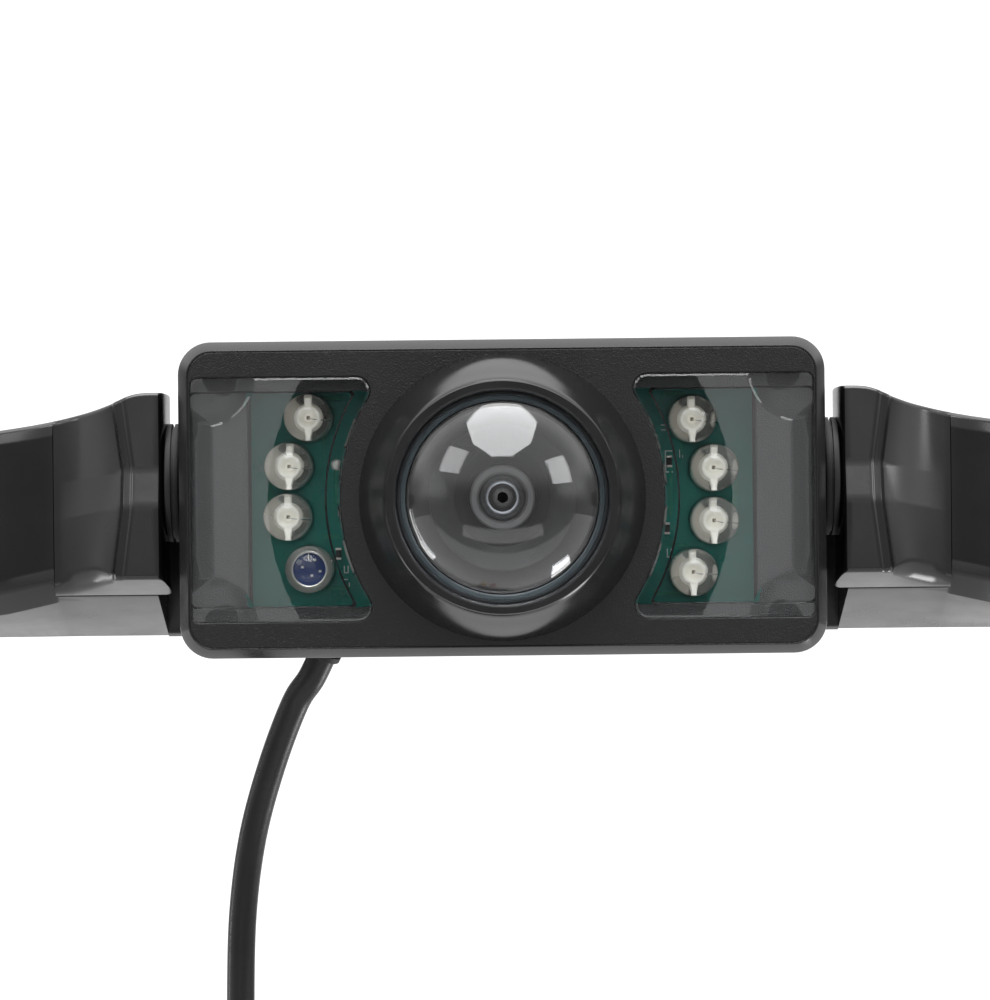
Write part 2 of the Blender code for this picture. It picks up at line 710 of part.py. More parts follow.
# ---------------------------------------------------------------- what tilts hangs from the pivot
BRACKET = (
    "bar",
    "ear_cover",
    "cover_screw",
    "friction_washer",
    "lead",
    "coil_tie",
    "y_splitter",
    "video",
    "power",
)
head_pivot = bpy.data.objects.new("head_pivot", None)
head_pivot.location = (0, PIVOT_Y * MM, PIVOT_Z * MM)
bpy.context.collection.objects.link(head_pivot)
bpy.context.view_layer.update()
for piece in list(bpy.data.objects):
    if piece is head_pivot or piece.name.startswith(BRACKET):
        continue
    piece.parent = head_pivot
    piece.matrix_parent_inverse = head_pivot.matrix_world.inverted()
for piece in bpy.data.objects:
    if piece.type == "MESH":
        piece.data.shade_smooth()
        piece.data.set_sharp_from_angle(angle=math.radians(32))
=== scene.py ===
"""Look model of a backup camera: number-plate bar, tilting twin-window head and lead. Sizes in mm."""
import math
import random

import bmesh
import bpy
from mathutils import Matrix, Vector
from mathutils.geometry import delaunay_2d_cdt


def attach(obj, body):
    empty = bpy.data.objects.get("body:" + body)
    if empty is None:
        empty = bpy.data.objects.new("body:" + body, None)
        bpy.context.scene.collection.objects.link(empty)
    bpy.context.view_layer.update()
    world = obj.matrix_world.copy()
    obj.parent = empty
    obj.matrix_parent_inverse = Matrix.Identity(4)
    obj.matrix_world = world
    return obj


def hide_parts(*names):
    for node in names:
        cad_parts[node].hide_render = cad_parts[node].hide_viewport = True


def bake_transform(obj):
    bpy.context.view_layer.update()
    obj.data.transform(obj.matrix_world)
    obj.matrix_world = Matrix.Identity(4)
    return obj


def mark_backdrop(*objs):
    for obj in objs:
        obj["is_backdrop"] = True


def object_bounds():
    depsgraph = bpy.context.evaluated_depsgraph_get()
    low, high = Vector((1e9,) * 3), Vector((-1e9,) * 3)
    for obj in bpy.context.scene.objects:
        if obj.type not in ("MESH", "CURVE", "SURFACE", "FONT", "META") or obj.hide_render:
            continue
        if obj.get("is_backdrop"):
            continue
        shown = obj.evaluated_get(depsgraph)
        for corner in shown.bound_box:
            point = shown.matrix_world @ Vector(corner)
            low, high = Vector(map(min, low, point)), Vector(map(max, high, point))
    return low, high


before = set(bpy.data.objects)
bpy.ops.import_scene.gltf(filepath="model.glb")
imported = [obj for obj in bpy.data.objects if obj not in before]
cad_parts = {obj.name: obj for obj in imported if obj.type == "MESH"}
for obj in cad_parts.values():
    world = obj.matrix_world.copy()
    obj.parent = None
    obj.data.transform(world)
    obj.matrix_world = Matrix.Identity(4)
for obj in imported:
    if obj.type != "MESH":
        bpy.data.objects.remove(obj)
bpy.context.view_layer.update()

MM = 0.001
scene = bpy.context.scene

# ---- driving sizes, mm
HEAD_W, HEAD_H, HEAD_R = 66.6, 32.6, 3.4
HALF_W = HEAD_W / 2
FACE_Y, RIM_Y, SPLIT_Y, SEAL_Y, REAR_Y = -31.0, -29.1, -25.6, -24.4, -14.5
CONE_Y, LIP_R, BORE_R = -39.0, 12.02, 10.78
BAR_BOTTOM, ARM_DEPTH, ROOT_DEPTH = -14.7, 5.6, 18.6
SLOT_X = 88.9
EAR_IN, RAMP_END = 35.4, 46.9
EAR_FRONT, EAR_DROP, SEAM_Y, BLOCK_IN = -24.8, 6.2, -16.6, 36.4
PIVOT_Y, PIVOT_Z = -18.8, 1.9
UNDER = 0.285
LEAD_R, TAIL_R = 1.5, 1.1
LEAD_DIR = Vector((-0.423, 0.2497, -0.8709)).normalized()
GLAND_END = Vector((-19.3, -13.51, -16.56))
HEAD, BRACKET = "camera_head", "bracket"


# ---- mesh building
class Shape:
    """Collects faces in mm and makes one welded, smooth-shaded object."""

    def __init__(self):
        self.verts = []
        self.faces = []
        self.mats = []

    def add(self, verts, faces, mat=0):
        base = len(self.verts)
        self.verts.extend(Vector(v) for v in verts)
        for f in faces:
            self.faces.append(tuple(base + i for i in f))
            self.mats.append(mat)
        return self

    def loft(self, loops, closed=True, caps=(False, False), mat=0):
        n = len(loops[0])
        verts = [p for loop in loops for p in loop]
        faces = []
        span = n if closed else n - 1
        for k in range(len(loops) - 1):
            for i in range(span):
                j = (i + 1) % n
                faces.append((k * n + i, k * n + j, (k + 1) * n + j, (k + 1) * n + i))
        if caps[0]:
            faces.append(tuple(reversed(range(n))))
        if caps[1]:
            faces.append(tuple((len(loops) - 1) * n + i for i in range(n)))
        return self.add(verts, faces, mat)

    def lathe(self, profile, centre=(0, 0), steps=96, mat=0, axis="y"):
        """profile is (radius, height along the axis); radius 0 closes the end."""
        verts, faces, rings = [], [], []
        for r, h in profile:
            if r < 1e-6:
                rings.append([len(verts)])
                verts.append(place(axis, centre, 0, 0, h))
            else:
                rings.append(list(range(len(verts), len(verts) + steps)))
                for i in range(steps):
                    a = 2 * math.pi * i / steps
                    verts.append(place(axis, centre, r * math.cos(a), r * math.sin(a), h))
        for lo, hi in zip(rings, rings[1:]):
            for i in range(steps):
                j = (i + 1) % steps
                quad = (lo[i % len(lo)], lo[j % len(lo)], hi[j % len(hi)], hi[i % len(hi)])
                corners = tuple(dict.fromkeys(quad))
                if len(corners) > 2:
                    faces.append(corners)
        return self.add(verts, faces, mat)

    def sheet(self, outer, holes, y, mat=0):
        """A flat face at depth y between an outline and its holes, all lists of (x, z)."""
        pts, edges = [], []
        for loop in [outer, *holes]:
            base = len(pts)
            pts.extend(Vector(p) for p in loop)
            edges.extend((base + i, base + (i + 1) % len(loop)) for i in range(len(loop)))
        out = delaunay_2d_cdt(pts, edges, [], 0, 1e-5)
        verts, faces = out[0], out[2]
        keep = []
        for f in faces:
            c = sum((verts[i] for i in f), Vector((0, 0))) / len(f)
            if inside(c, outer) and not any(inside(c, h) for h in holes):
                keep.append(tuple(f))
        return self.add([(v.x, y, v.y) for v in verts], keep, mat)

    def make(self, name, materials, sharp=35.0, weld=0.002):
        me = bpy.data.meshes.new(name)
        me.from_pydata([v * MM for v in self.verts], [], self.faces)
        if not isinstance(materials, (list, tuple)):
            materials = [materials]
        for m in materials:
            me.materials.append(m)
        me.polygons.foreach_set("material_index", self.mats)
        bm = bmesh.new()
        bm.from_mesh(me)
        bmesh.ops.remove_doubles(bm, verts=bm.verts, dist=weld * MM)
        loose = [v for v in bm.verts if not v.link_faces]
        bmesh.ops.delete(bm, geom=loose, context="VERTS")
        bmesh.ops.recalc_face_normals(bm, faces=bm.faces)
        bm.to_mesh(me)
        bm.free()
        me.shade_smooth()
        if sharp:
            me.set_sharp_from_angle(angle=math.radians(sharp))
        for p in me.polygons:
            if abs(p.normal.y) > 0.99999:
                p.use_smooth = False
        ob = bpy.data.objects.new(name, me)
        scene.collection.objects.link(ob)
        return ob


def place(axis, centre, u, v, h):
    if axis == "y":
        return (centre[0] + u, h, centre[1] + v)
    if axis == "x":
        return (h, centre[0] + u, centre[1] + v)
    return (centre[0] + u, centre[1] + v, h)


def inside(p, loop):
    hit = False
    n = len(loop)
    for i in range(n):
        x1, y1 = loop[i]
        x2, y2 = loop[(i + 1) % n]
        if (y1 > p[1]) != (y2 > p[1]):
            if p[0] < (x2 - x1) * (p[1] - y1) / (y2 - y1) + x1:
                hit = not hit
    return hit


def clamp(v, lo=0.0, hi=1.0):
    return max(lo, min(hi, v))


def ease(t):
    t = clamp(t)
    return t * t * (3 - 2 * t)


def rounded(corners, steps=10):
    """A closed outline from (x, z, radius) corners."""
    out = []
    n = len(corners)
    for i, (x, z, r) in enumerate(corners):
        p = Vector((x, z))
        a = Vector(corners[i - 1][:2]) - p
        b = Vector(corners[(i + 1) % n][:2]) - p
        if r < 1e-6:
            out.append((x, z))
            continue
        ua, ub = a.normalized(), b.normalized()
        half = ua.angle(ub) / 2
        cut = r / math.tan(half)
        centre = p + (ua + ub).normalized() * (r / math.sin(half))
        s, e = p + ua * cut - centre, p + ub * cut - centre
        turn = math.atan2(s.x * e.y - s.y * e.x, s.dot(e))
        for k in range(steps + 1):
            t = turn * k / steps
            c, q = math.cos(t), math.sin(t)
            out.append((centre.x + s.x * c - s.y * q, centre.y + s.x * q + s.y * c))
    return out


def rect(w, h, r, cx=0.0, cz=0.0, steps=10):
    x, z = w / 2, h / 2
    return rounded(
        [(cx + x, cz - z, r), (cx + x, cz + z, r), (cx - x, cz + z, r), (cx - x, cz - z, r)], steps
    )


def grown(loop, d):
    """The outline moved outward by d (inward if negative), point for point."""
    n = len(loop)
    area = sum(
        loop[i][0] * loop[(i + 1) % n][1] - loop[(i + 1) % n][0] * loop[i][1] for i in range(n)
    )
    s = 1 if area > 0 else -1
    out = []
    for i in range(n):
        a = Vector(loop[i]) - Vector(loop[i - 1])
        b = Vector(loop[(i + 1) % n]) - Vector(loop[i])
        if a.length < 1e-9 or b.length < 1e-9:
            a = b if a.length < 1e-9 else a
            b = a if b.length < 1e-9 else b
        na = Vector((a.y, -a.x)).normalized() * s
        nb = Vector((b.y, -b.x)).normalized() * s
        m = na + nb
        m = m / max(m.length_squared / 2, 0.3)
        out.append((loop[i][0] + m.x * d, loop[i][1] + m.y * d))
    return out


def ring(loop, y):
    """Outline points (x, z) set at depth y."""
    return [(x, y, z) for x, z in loop]


def smooth_path(points, per=8):
    """A curve through all the points, with so many steps to each stretch."""
    pts = [Vector(p) for p in points]
    out = []
    for i in range(len(pts) - 1):
        p0, p1 = pts[max(i - 1, 0)], pts[i]
        p2, p3 = pts[i + 1], pts[min(i + 2, len(pts) - 1)]
        for k in range(per):
            t = k / per
            square = (2 * p0 - 5 * p1 + 4 * p2 - p3) * t * t
            cube = (3 * p1 - p0 - 3 * p2 + p3) * t ** 3
            out.append(0.5 * (2 * p1 + (p2 - p0) * t + square + cube))
    out.append(pts[-1])
    return out


def tube(shape, path, radius, sides=20, caps=True, mat=0):
    """A swept round tube; radius is a number or a function of the index."""
    path = [Vector(p) for p in path]
    tangents = []
    for i in range(len(path)):
        t = path[min(i + 1, len(path) - 1)] - path[max(i - 1, 0)]
        tangents.append(t.normalized())
    normal = tangents[0].orthogonal().normalized()
    loops = []
    for i, (p, t) in enumerate(zip(path, tangents)):
        normal = (normal - t * normal.dot(t)).normalized()
        other = t.cross(normal)
        r = radius(i) if callable(radius) else radius
        turns = [2 * math.pi * k / sides for k in range(sides)]
        loops.append([p + normal * r * math.cos(a) + other * r * math.sin(a) for a in turns])
    return shape.loft(loops, caps=(caps, caps), mat=mat)


# ---- materials
def link(nt, a, b):
    nt.links.new(a, b)


def put(node, values):
    """Sets a node's own inputs by name."""
    for key, value in values.items():
        node.inputs[key].default_value = value
    return node


def noise_node(nt, scale, detail=3.0, rough=0.5):
    tc = nt.nodes.new("ShaderNodeTexCoord")
    n = nt.nodes.new("ShaderNodeTexNoise")
    put(n, {"Scale": scale, "Detail": detail, "Roughness": rough})
    link(nt, tc.outputs["Object"], n.inputs["Vector"])
    return n


def remap(nt, source, lo, hi, a=0.3, b=0.7):
    m = nt.nodes.new("ShaderNodeMapRange")
    put(m, {"From Min": a, "From Max": b, "To Min": lo, "To Max": hi})
    link(nt, source, m.inputs["Value"])
    return m.outputs["Result"]


def plastic(
    name, colour, rough=0.35, ior=1.46, grain=0.0, grain_scale=2600.0, wave=0.0, wave_scale=120.0,
    vary=0.04, spec=0.5, metallic=0.0, tint=0.06,
):
    """A surface with uneven roughness and colour, long waves and a fine grain."""
    mat = bpy.data.materials.new(name)
    mat.use_nodes = True
    nt = mat.node_tree
    b = nt.nodes["Principled BSDF"]
    put(b, {"Base Color": (*colour, 1), "Roughness": rough, "IOR": ior, "Metallic": metallic})
    b.inputs["Specular IOR Level"].default_value = spec
    if vary:
        n = noise_node(nt, 180.0, 4.0, 0.6)
        r = remap(nt, n.outputs["Fac"], max(0.0, rough - vary), min(1.0, rough + vary))
        link(nt, r, b.inputs["Roughness"])
        if tint:
            mix = nt.nodes.new("ShaderNodeMix")
            mix.data_type = "RGBA"
            mix.inputs[6].default_value = (*[c * (1 - tint) for c in colour], 1)
            mix.inputs[7].default_value = (*[min(1, c * (1 + tint)) for c in colour], 1)
            link(nt, n.outputs["Fac"], mix.inputs[0])
            link(nt, mix.outputs[2], b.inputs["Base Color"])
    last = None
    for strength, scale, dist in ((wave, wave_scale, 0.0004), (grain, grain_scale, 0.0001)):
        if not strength:
            continue
        n = noise_node(nt, scale, 2.5, 0.55)
        bump = nt.nodes.new("ShaderNodeBump")
        put(bump, {"Strength": strength, "Distance": dist})
        link(nt, n.outputs["Fac"], bump.inputs["Height"])
        if last:
            link(nt, last, bump.inputs["Normal"])
        last = bump.outputs["Normal"]
    if last:
        link(nt, last, b.inputs["Normal"])
    return mat


M = {}
M["face"] = plastic("face_texture", (0.015, 0.015, 0.016), 0.32, ior=1.42, grain=0.8, grain_scale=6500)
M["ledge"] = plastic("ledge_texture", (0.010, 0.010, 0.011), 0.42, grain=1.0, grain_scale=6500, vary=0.1)
M["rim"] = plastic("rim_satin", (0.012, 0.012, 0.012), 0.22, grain=0.06, grain_scale=3500)
M["bar"] = plastic("bar_satin", (0.006, 0.006, 0.0065), 0.24, grain=0.05, grain_scale=3000)
M["cover"] = plastic("cover_satin", (0.006, 0.006, 0.0065), 0.24, ior=1.6, grain=0.05, grain_scale=3000)
M["housing"] = plastic("housing_satin", (0.007, 0.007, 0.007), 0.34, grain=0.2, grain_scale=2600)
M["matt"] = plastic("matt_black", (0.010, 0.010, 0.010), 0.6, grain=0.3, grain_scale=2600)
M["rubber"] = plastic("seal_rubber", (0.012, 0.012, 0.012), 0.55, grain=0.2, grain_scale=1500)
M["pvc"] = plastic("lead_pvc", (0.010, 0.010, 0.011), 0.34, ior=1.42, wave=0.12, wave_scale=420, grain=0.08)
M["steel"] = plastic("zinc_steel", (0.42, 0.42, 0.43), 0.28, metallic=1.0, grain=0.1, grain_scale=4000)
M["black_steel"] = plastic("blackened_steel", (0.06, 0.06, 0.065), 0.35, metallic=0.8, grain=0.1)
M["white"] = plastic("pale_ring", (0.17, 0.165, 0.16), 0.4, grain=0.05, metallic=0.0)
M["silver"] = plastic("silver_ring", (0.75, 0.76, 0.78), 0.22, metallic=1.0, grain=0.05)
M["yellow"] = plastic("yellow_plug", (0.75, 0.50, 0.02), 0.36, grain=0.08, wave=0.05)
M["red"] = plastic("red_jack", (0.50, 0.02, 0.02), 0.36, grain=0.08, wave=0.05)
M["green"] = plastic("solder_mask", (0.007, 0.19, 0.155), 0.30, grain=0.10, grain_scale=1500, spec=0.4)
M["trace"] = plastic("mask_over_copper", (0.02, 0.22, 0.15), 0.28, grain=0.08, spec=0.4)
M["chip"] = plastic("chip_epoxy", (0.02, 0.02, 0.022), 0.5, grain=0.15)
M["silk"] = plastic("legend_ink", (0.7, 0.72, 0.72), 0.6, grain=0.1)
M["leadframe"] = plastic("leadframe", (0.95, 0.91, 0.83), 0.3, metallic=0.15, grain=0.12)
# painted glow: the leadframe gets a little light of its own, standing for what the lamp's nose gathers
glow = M["leadframe"].node_tree.nodes["Principled BSDF"]
put(glow, {"Emission Color": (1.0, 0.93, 0.80, 1), "Emission Strength": 0.13})
M["die"] = plastic("led_die", (0.25, 0.22, 0.14), 0.3, grain=0.1)
M["sensor"] = plastic("sensor_blue", (0.008, 0.025, 0.12), 0.2, grain=0.03)
M["nylon"] = plastic("washer_nylon", (0.5, 0.5, 0.5), 0.4, grain=0.1)
M["cone"] = plastic("cone_satin", (0.016, 0.016, 0.017), 0.20, grain=0.05, grain_scale=3500)
M["shroud"] = plastic("shroud_black", (0.022, 0.020, 0.018), 0.5, ior=1.4, grain=0.2, grain_scale=2600)
M["gasket"] = plastic("dome_gasket", (0.045, 0.06, 0.065), 0.35, grain=0.1)
M["cast"] = plastic("lamp_base", (0.30, 0.30, 0.27), 0.3, grain=0.3, grain_scale=1500, tint=0.6)
M["anvil"] = plastic(
    "anvil_silver", (0.75, 0.73, 0.69), 0.28, metallic=0.5, grain=0.25, grain_scale=2200, tint=0.25
)


def clear(name, tint=(1, 1, 1), rough=0.0, ior=1.49, bump=0.0, scale=900.0):
    """Thin clear plastic: lets straight rays through and mirrors by Fresnel."""
    mat = bpy.data.materials.new(name)
    mat.use_nodes = True
    nt = mat.node_tree
    b = nt.nodes["Principled BSDF"]
    out = nt.nodes["Material Output"]
    put(b, {"Base Color": (*tint, 1), "Roughness": rough, "IOR": ior, "Transmission Weight": 1.0})
    n = noise_node(nt, scale, 2.0)
    if rough > 0.02:
        link(nt, remap(nt, n.outputs["Fac"], rough * 0.8, rough * 1.2), b.inputs["Roughness"])
    bmp = nt.nodes.new("ShaderNodeBump")
    put(bmp, {"Strength": max(bump, 0.004), "Distance": 0.00005})
    link(nt, n.outputs["Fac"], bmp.inputs["Height"])
    link(nt, bmp.outputs["Normal"], b.inputs["Normal"])
    # let light reach the parts behind it
    t = nt.nodes.new("ShaderNodeBsdfTransparent")
    t.inputs["Color"].default_value = (*[0.99 * c for c in tint], 1)
    lp = nt.nodes.new("ShaderNodeLightPath")
    mx = nt.nodes.new("ShaderNodeMixShader")
    link(nt, lp.outputs["Is Shadow Ray"], mx.inputs[0])
    link(nt, b.outputs[0], mx.inputs[1])
    link(nt, t.outputs[0], mx.inputs[2])
    link(nt, mx.outputs[0], out.inputs["Surface"])
    return mat


M["window"] = clear("window_acrylic", (0.97, 0.99, 0.99), 0.0, 1.49)
M["frost"] = clear("window_frosted", (0.97, 0.99, 0.99), 0.35, 1.49, bump=0.6, scale=2500)
M["dome"] = clear("dome_acrylic", (0.95, 0.97, 0.99), 0.0, 1.49)
M["epoxy"] = clear("led_epoxy", (0.98, 0.99, 1.0), 0.0, 1.52)
M["glass"] = plastic("lens_glass", (0.003, 0.002, 0.003), 0.02, ior=1.3, vary=0.005, tint=0, spec=0.12)


def bright(name, power):
    """A lamp's face."""
    mat = bpy.data.materials.new(name)
    mat.use_nodes = True
    nt = mat.node_tree
    nt.nodes.clear()
    e = nt.nodes.new("ShaderNodeEmission")
    e.inputs["Strength"].default_value = power
    o = nt.nodes.new("ShaderNodeOutputMaterial")
    link(nt, e.outputs[0], o.inputs["Surface"])
    return mat


def dress(ob, body, slot, *nodes):
    """Puts a piece on its body and hides the CAD nodes it stands for; slot is not used."""
    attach(ob, body)
    if nodes:
        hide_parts(*nodes)
    return ob
def fit(shape, name, mats, body, slot, *nodes, sharp=40):
    """Makes a piece from its shape and dresses it."""
    return dress(shape.make(name, mats, sharp=sharp), body, slot, *nodes)


# ---- camera head: bezel
def head_loop(inset, y, steps=12):
    r = max(HEAD_R - 0.75 * inset, 0.3)
    return ring(rect(HEAD_W - 2 * inset, HEAD_H - 2 * inset, r, steps=steps), y)


def head_loft(shape, steps, mat=0):
    """Rings of the head's outline from (inset, depth) steps."""
    return shape.loft([head_loop(inset, y) for inset, y in steps], mat=mat)


def arc(cx, cz, r, first, last, steps):
    """Points from one angle to another about a centre, both ends in."""
    turns = [first + (last - first) * k / steps for k in range(steps + 1)]
    return [(cx + r * math.cos(a), cz + r * math.sin(a)) for a in turns]


def circle(r, steps=144):
    return arc(0, 0, r, 0, 2 * math.pi, steps)[:-1]


WIN_H, WIN_ARC, WIN_ARC_X, WIN_FLAT, WIN_OUT = 12.5, 19.7, -3.0, 29.7, 32.72
PLATEAU_R, PLATEAU_X = 4.6, 29.9
BITE_X, BITE_Z, BITE_R = 30.9, 13.1, 5.5


def resample(points, count):
    pts = [Vector(p) for p in points]
    total = [0.0]
    for a, b in zip(pts, pts[1:]):
        total.append(total[-1] + (b - a).length)
    out = []
    for k in range(count):
        want = total[-1] * k / (count - 1)
        i = 1
        while i < len(pts) - 1 and total[i] < want:
            i += 1
        span = max(total[i] - total[i - 1], 1e-9)
        out.append(tuple(pts[i - 1].lerp(pts[i], clamp((want - total[i - 1]) / span))))
    return out


def window_loops(side, grow=0.0, outer=WIN_OUT, plateau=False, corner=1.4, arc_grow=None):
    """Window outline: inner arc round the dome, straight top and bottom, outer end.
    plateau gives the outline of its flat front instead, with the same point count."""
    h = WIN_H + grow
    arc_r = WIN_ARC - (grow if arc_grow is None else arc_grow)
    r = max(corner + grow, 0.35)
    # centre of the small inner corner, tangent to the arc and to the straight edge
    cz = h - r
    cx = WIN_ARC_X + math.sqrt((arc_r + r) ** 2 - cz * cz)
    touch = Vector((cx - WIN_ARC_X, cz)).normalized()
    start = math.atan2(-touch.y, -touch.x)
    corner_pts = arc(cx, cz, r, start, -1.5 * math.pi, 10)
    reach = math.atan2(cz, cx - WIN_ARC_X)
    inner_arc = arc(WIN_ARC_X, 0, arc_r, -reach, reach, 40)
    join = WIN_FLAT - PLATEAU_R
    if plateau:
        bite = BITE_R - grow
        a1 = math.pi + math.asin((BITE_Z - h) / bite)
        a2 = 1.5 * math.pi - math.asin((BITE_X - PLATEAU_X - grow) / bite)
        end = arc(BITE_X, BITE_Z, bite, a1, a2, 24)
    else:
        poly = [(join, h)] + arc(outer - 0.7, h - 0.7, 0.7, math.pi / 2, 0, 6)
        poly.append((outer, h - PLATEAU_R))
        end = resample(poly, 25)
    top = resample([corner_pts[-1], end[0]], 10)[1:-1]
    upper = corner_pts[1:] + top + end
    side_pts = resample([upper[-1], (upper[-1][0], -upper[-1][1])], 9)[1:-1]
    lower = [(x, -z) for x, z in reversed(upper)]
    loop = inner_arc + upper + side_pts + lower
    loop = [(side * x, z) for x, z in loop]
    return loop if side > 0 else list(reversed(loop))


def cone_profile():
    """Boss round the dome: (radius, depth): foot, steep flank, rounded lip and bore."""
    out = [(14.72, FACE_Y), (14.66, FACE_Y - 0.3)]
    out += [(14.1, -32.9), (13.5, -34.6), (12.88, -36.2), (12.25, -37.75), (LIP_R, -38.4)]
    for k in range(1, 7):
        a = math.radians(16 + 74 * k / 6)
        out.append((LIP_R - 0.36 * (math.sin(a) - 0.27), -38.4 - 0.6 * (1 - math.cos(a)) ** 0.8))
    out += [(11.6, CONE_Y), (11.15, CONE_Y), (11.0, CONE_Y + 0.03), (10.85, CONE_Y + 0.14)]
    out += [(BORE_R, CONE_Y + 0.35), (BORE_R, -35.7), (9.95, -35.7), (9.85, -35.5), (9.85, -29.2)]
    return out


RIM_STEPS = (
    (0.35, SPLIT_Y + 0.9), (0.30, SPLIT_Y), (0.06, SPLIT_Y), (0.0, SPLIT_Y - 0.08), (0.0, RIM_Y + 0.2),
    (0.02, RIM_Y + 0.05), (0.08, RIM_Y - 0.12), (0.90, FACE_Y + 0.06), (0.95, FACE_Y - 0.03),
    (1.00, FACE_Y - 0.05),
)
FACE_IN = 1.22
FACE_STEPS = (RIM_STEPS[-1], (1.05, FACE_Y - 0.04), (1.12, FACE_Y + 0.05), (FACE_IN, FACE_Y))
RECESS, LEDGE_Y = 0.18, -29.1

bezel = Shape()
head_loft(bezel, RIM_STEPS, mat=1)
head_loft(bezel, FACE_STEPS)
face_outline = [(x, z) for x, y, z in head_loop(FACE_IN, FACE_Y)]
recesses = [window_loops(side, RECESS, outer=HALF_W - 1.26) for side in (1, -1)]
cone = cone_profile()
bezel.sheet(face_outline, [circle(cone[0][0])] + recesses, FACE_Y)
bezel.lathe(cone, mat=2, steps=144)
for side, edge in zip((1, -1), recesses):
    lip = window_loops(side, RECESS - 0.08, outer=HALF_W - 1.3)
    ledge = window_loops(side, -1.35, outer=26.2, corner=1.0, arc_grow=-0.25)
    bezel.loft([ring(edge, FACE_Y), ring(lip, FACE_Y + 0.1), ring(lip, LEDGE_Y)], mat=0)
    bezel.loft([ring(lip, LEDGE_Y), ring(ledge, LEDGE_Y)], mat=4)
    bezel.loft([ring(ledge, LEDGE_Y), ring(ledge, -27.4), ring(grown(ledge, 1.0), -25.8)], mat=3)
bezel.lathe([(9.85, -29.2), (10.6, -28.2), (10.6, -25.8)], mat=3, steps=144)
bezel_mats = [M[key] for key in ("face", "rim", "cone", "matt", "ledge")]
fit(bezel, "front_bezel_look", bezel_mats, HEAD, "black_abs", "front_bezel", sharp=28)


# ---- windows
def window_depth(x, z):
    """Front surface of the window beyond its flat: it falls away towards the end."""
    past_end = abs(x) - PLATEAU_X
    in_bite = BITE_R - math.hypot(abs(x) - BITE_X, abs(z) - BITE_Z)
    d = max(past_end, in_bite, 0.0)
    return FACE_Y + 0.13 + 0.8 * (1 - math.exp(-d / 1.7))


WRAP_Y, PANE_BACK, RIB_BACK = -30.7, -29.3, -29.65
for side, name in ((1, "right"), (-1, "left")):
    w = Shape()
    flat_in = window_loops(side, -0.22, plateau=True)
    flat = window_loops(side, 0.0, plateau=True)
    full = window_loops(side, 0.0)
    slope = [(x, window_depth(x, z), z) for x, z in full]
    mid = []
    for (x1, z1), (x2, z2) in zip(flat, full):
        x, z = (x1 + x2) / 2, (z1 + z2) / 2
        mid.append((x, window_depth(x, z), z))
    w.sheet(flat_in, [], FACE_Y)
    w.loft([ring(flat_in, FACE_Y), ring(flat, FACE_Y + 0.13), mid, slope])
    wrap = [(x, max(y, WRAP_Y), z) for x, y, z in slope]
    bottom = [(x, max(y, PANE_BACK), z) for x, y, z in slope]
    w.loft([slope, wrap, bottom])
    rib = window_loops(side, -1.35, outer=32.3, corner=1.6)
    rib_end = window_loops(side, -1.55, outer=32.1, corner=1.6)
    w.loft([bottom, ring(rib, PANE_BACK)])
    w.loft([ring(rib, PANE_BACK), ring(rib_end, RIB_BACK)])
    w.sheet(rib_end, [], RIB_BACK)
    panes = [M["window"], M["frost"]]
    fit(w, "window_%s_look" % name, panes, HEAD, "clear_window", "window_" + name, sharp=12)

# ---- dome, shroud and lens
dome_r, dome_cy, dome_in = 11.6, -33.2, 11.15
DOME_EDGE, DOME_INNER, DOME_FOOT = 10.45, 10.2, -37.0
profile = [(DOME_EDGE, DOME_FOOT)]
a0 = math.asin(DOME_EDGE / dome_r)
for k in range(49):
    a = a0 * (1 - k / 48)
    profile.append((dome_r * math.sin(a), dome_cy - dome_r * math.cos(a)))
profile[-1] = (0.0, dome_cy - dome_r)
a1 = math.acos((-DOME_FOOT + dome_cy) / dome_in)
inner = []
for k in range(49):
    a = a1 * k / 48
    inner.append((dome_in * math.sin(a), dome_cy - dome_in * math.cos(a)))
inner[0] = (0.0, dome_cy - dome_in)
if inner[-1][0] > DOME_INNER:
    inner = [p for p in inner if p[0] < DOME_INNER] + [(DOME_INNER, DOME_FOOT)]
dome = Shape()
dome.lathe(profile, steps=160)
dome.lathe(inner, steps=160)
dome.lathe([inner[-1], (DOME_EDGE, DOME_FOOT)], steps=160)
fit(dome, "dome_look", M["dome"], HEAD, "dome_glass", "lens_dome")

SHROUD = (
    (9.45, -36.4), (9.6, -36.5), (9.74, -36.4), (9.74, -30.6), (8.6, -29.0), (8.6, -27.2),
    (4.8, -25.8), (4.8, -25.0), (3.8, -25.0), (3.8, -26.3), (3.95, -26.4), (5.0, -27.15),
    (5.08, -27.25), (5.08, -28.1), (5.2, -28.2), (7.45, -29.15), (7.6, -29.3), (7.6, -30.5),
    (7.75, -30.75), (9.45, -36.4),
)
GASKET = ((9.75, -36.0), (9.75, -36.88), (9.85, -36.95), (10.3, -36.95), (10.4, -36.88), (10.4, -36.0))
TRIM = (
    (2.5, -27.75), (2.56, -27.98), (2.7, -28.15), (3.2, -28.15), (3.35, -28.05), (3.4, -27.9),
    (3.4, -27.7), (2.5, -27.7), (2.5, -27.75),
)
KEEPER = (
    (1.42, -25.6), (1.42, -26.3), (1.5, -26.6), (1.56, -26.62), (1.62, -26.55), (1.7, -26.85),
    (1.78, -26.9), (1.88, -26.85), (1.95, -26.6), (2.2, -26.5), (2.2, -25.5), (1.42, -25.5),
)
barrel_thread = [(2.42 if k % 2 else 2.5, -23.9 - 0.5 * k) for k in range(7)] + [(2.5, -27.4)]
shroud = Shape().lathe(SHROUD, steps=128)
fit(shroud, "lens_shroud_look", M["shroud"], HEAD, "matt_black", "lens_shroud", sharp=30)
fit(Shape().lathe(GASKET, steps=128), "dome_gasket_look", M["gasket"], HEAD, "seal_rubber")
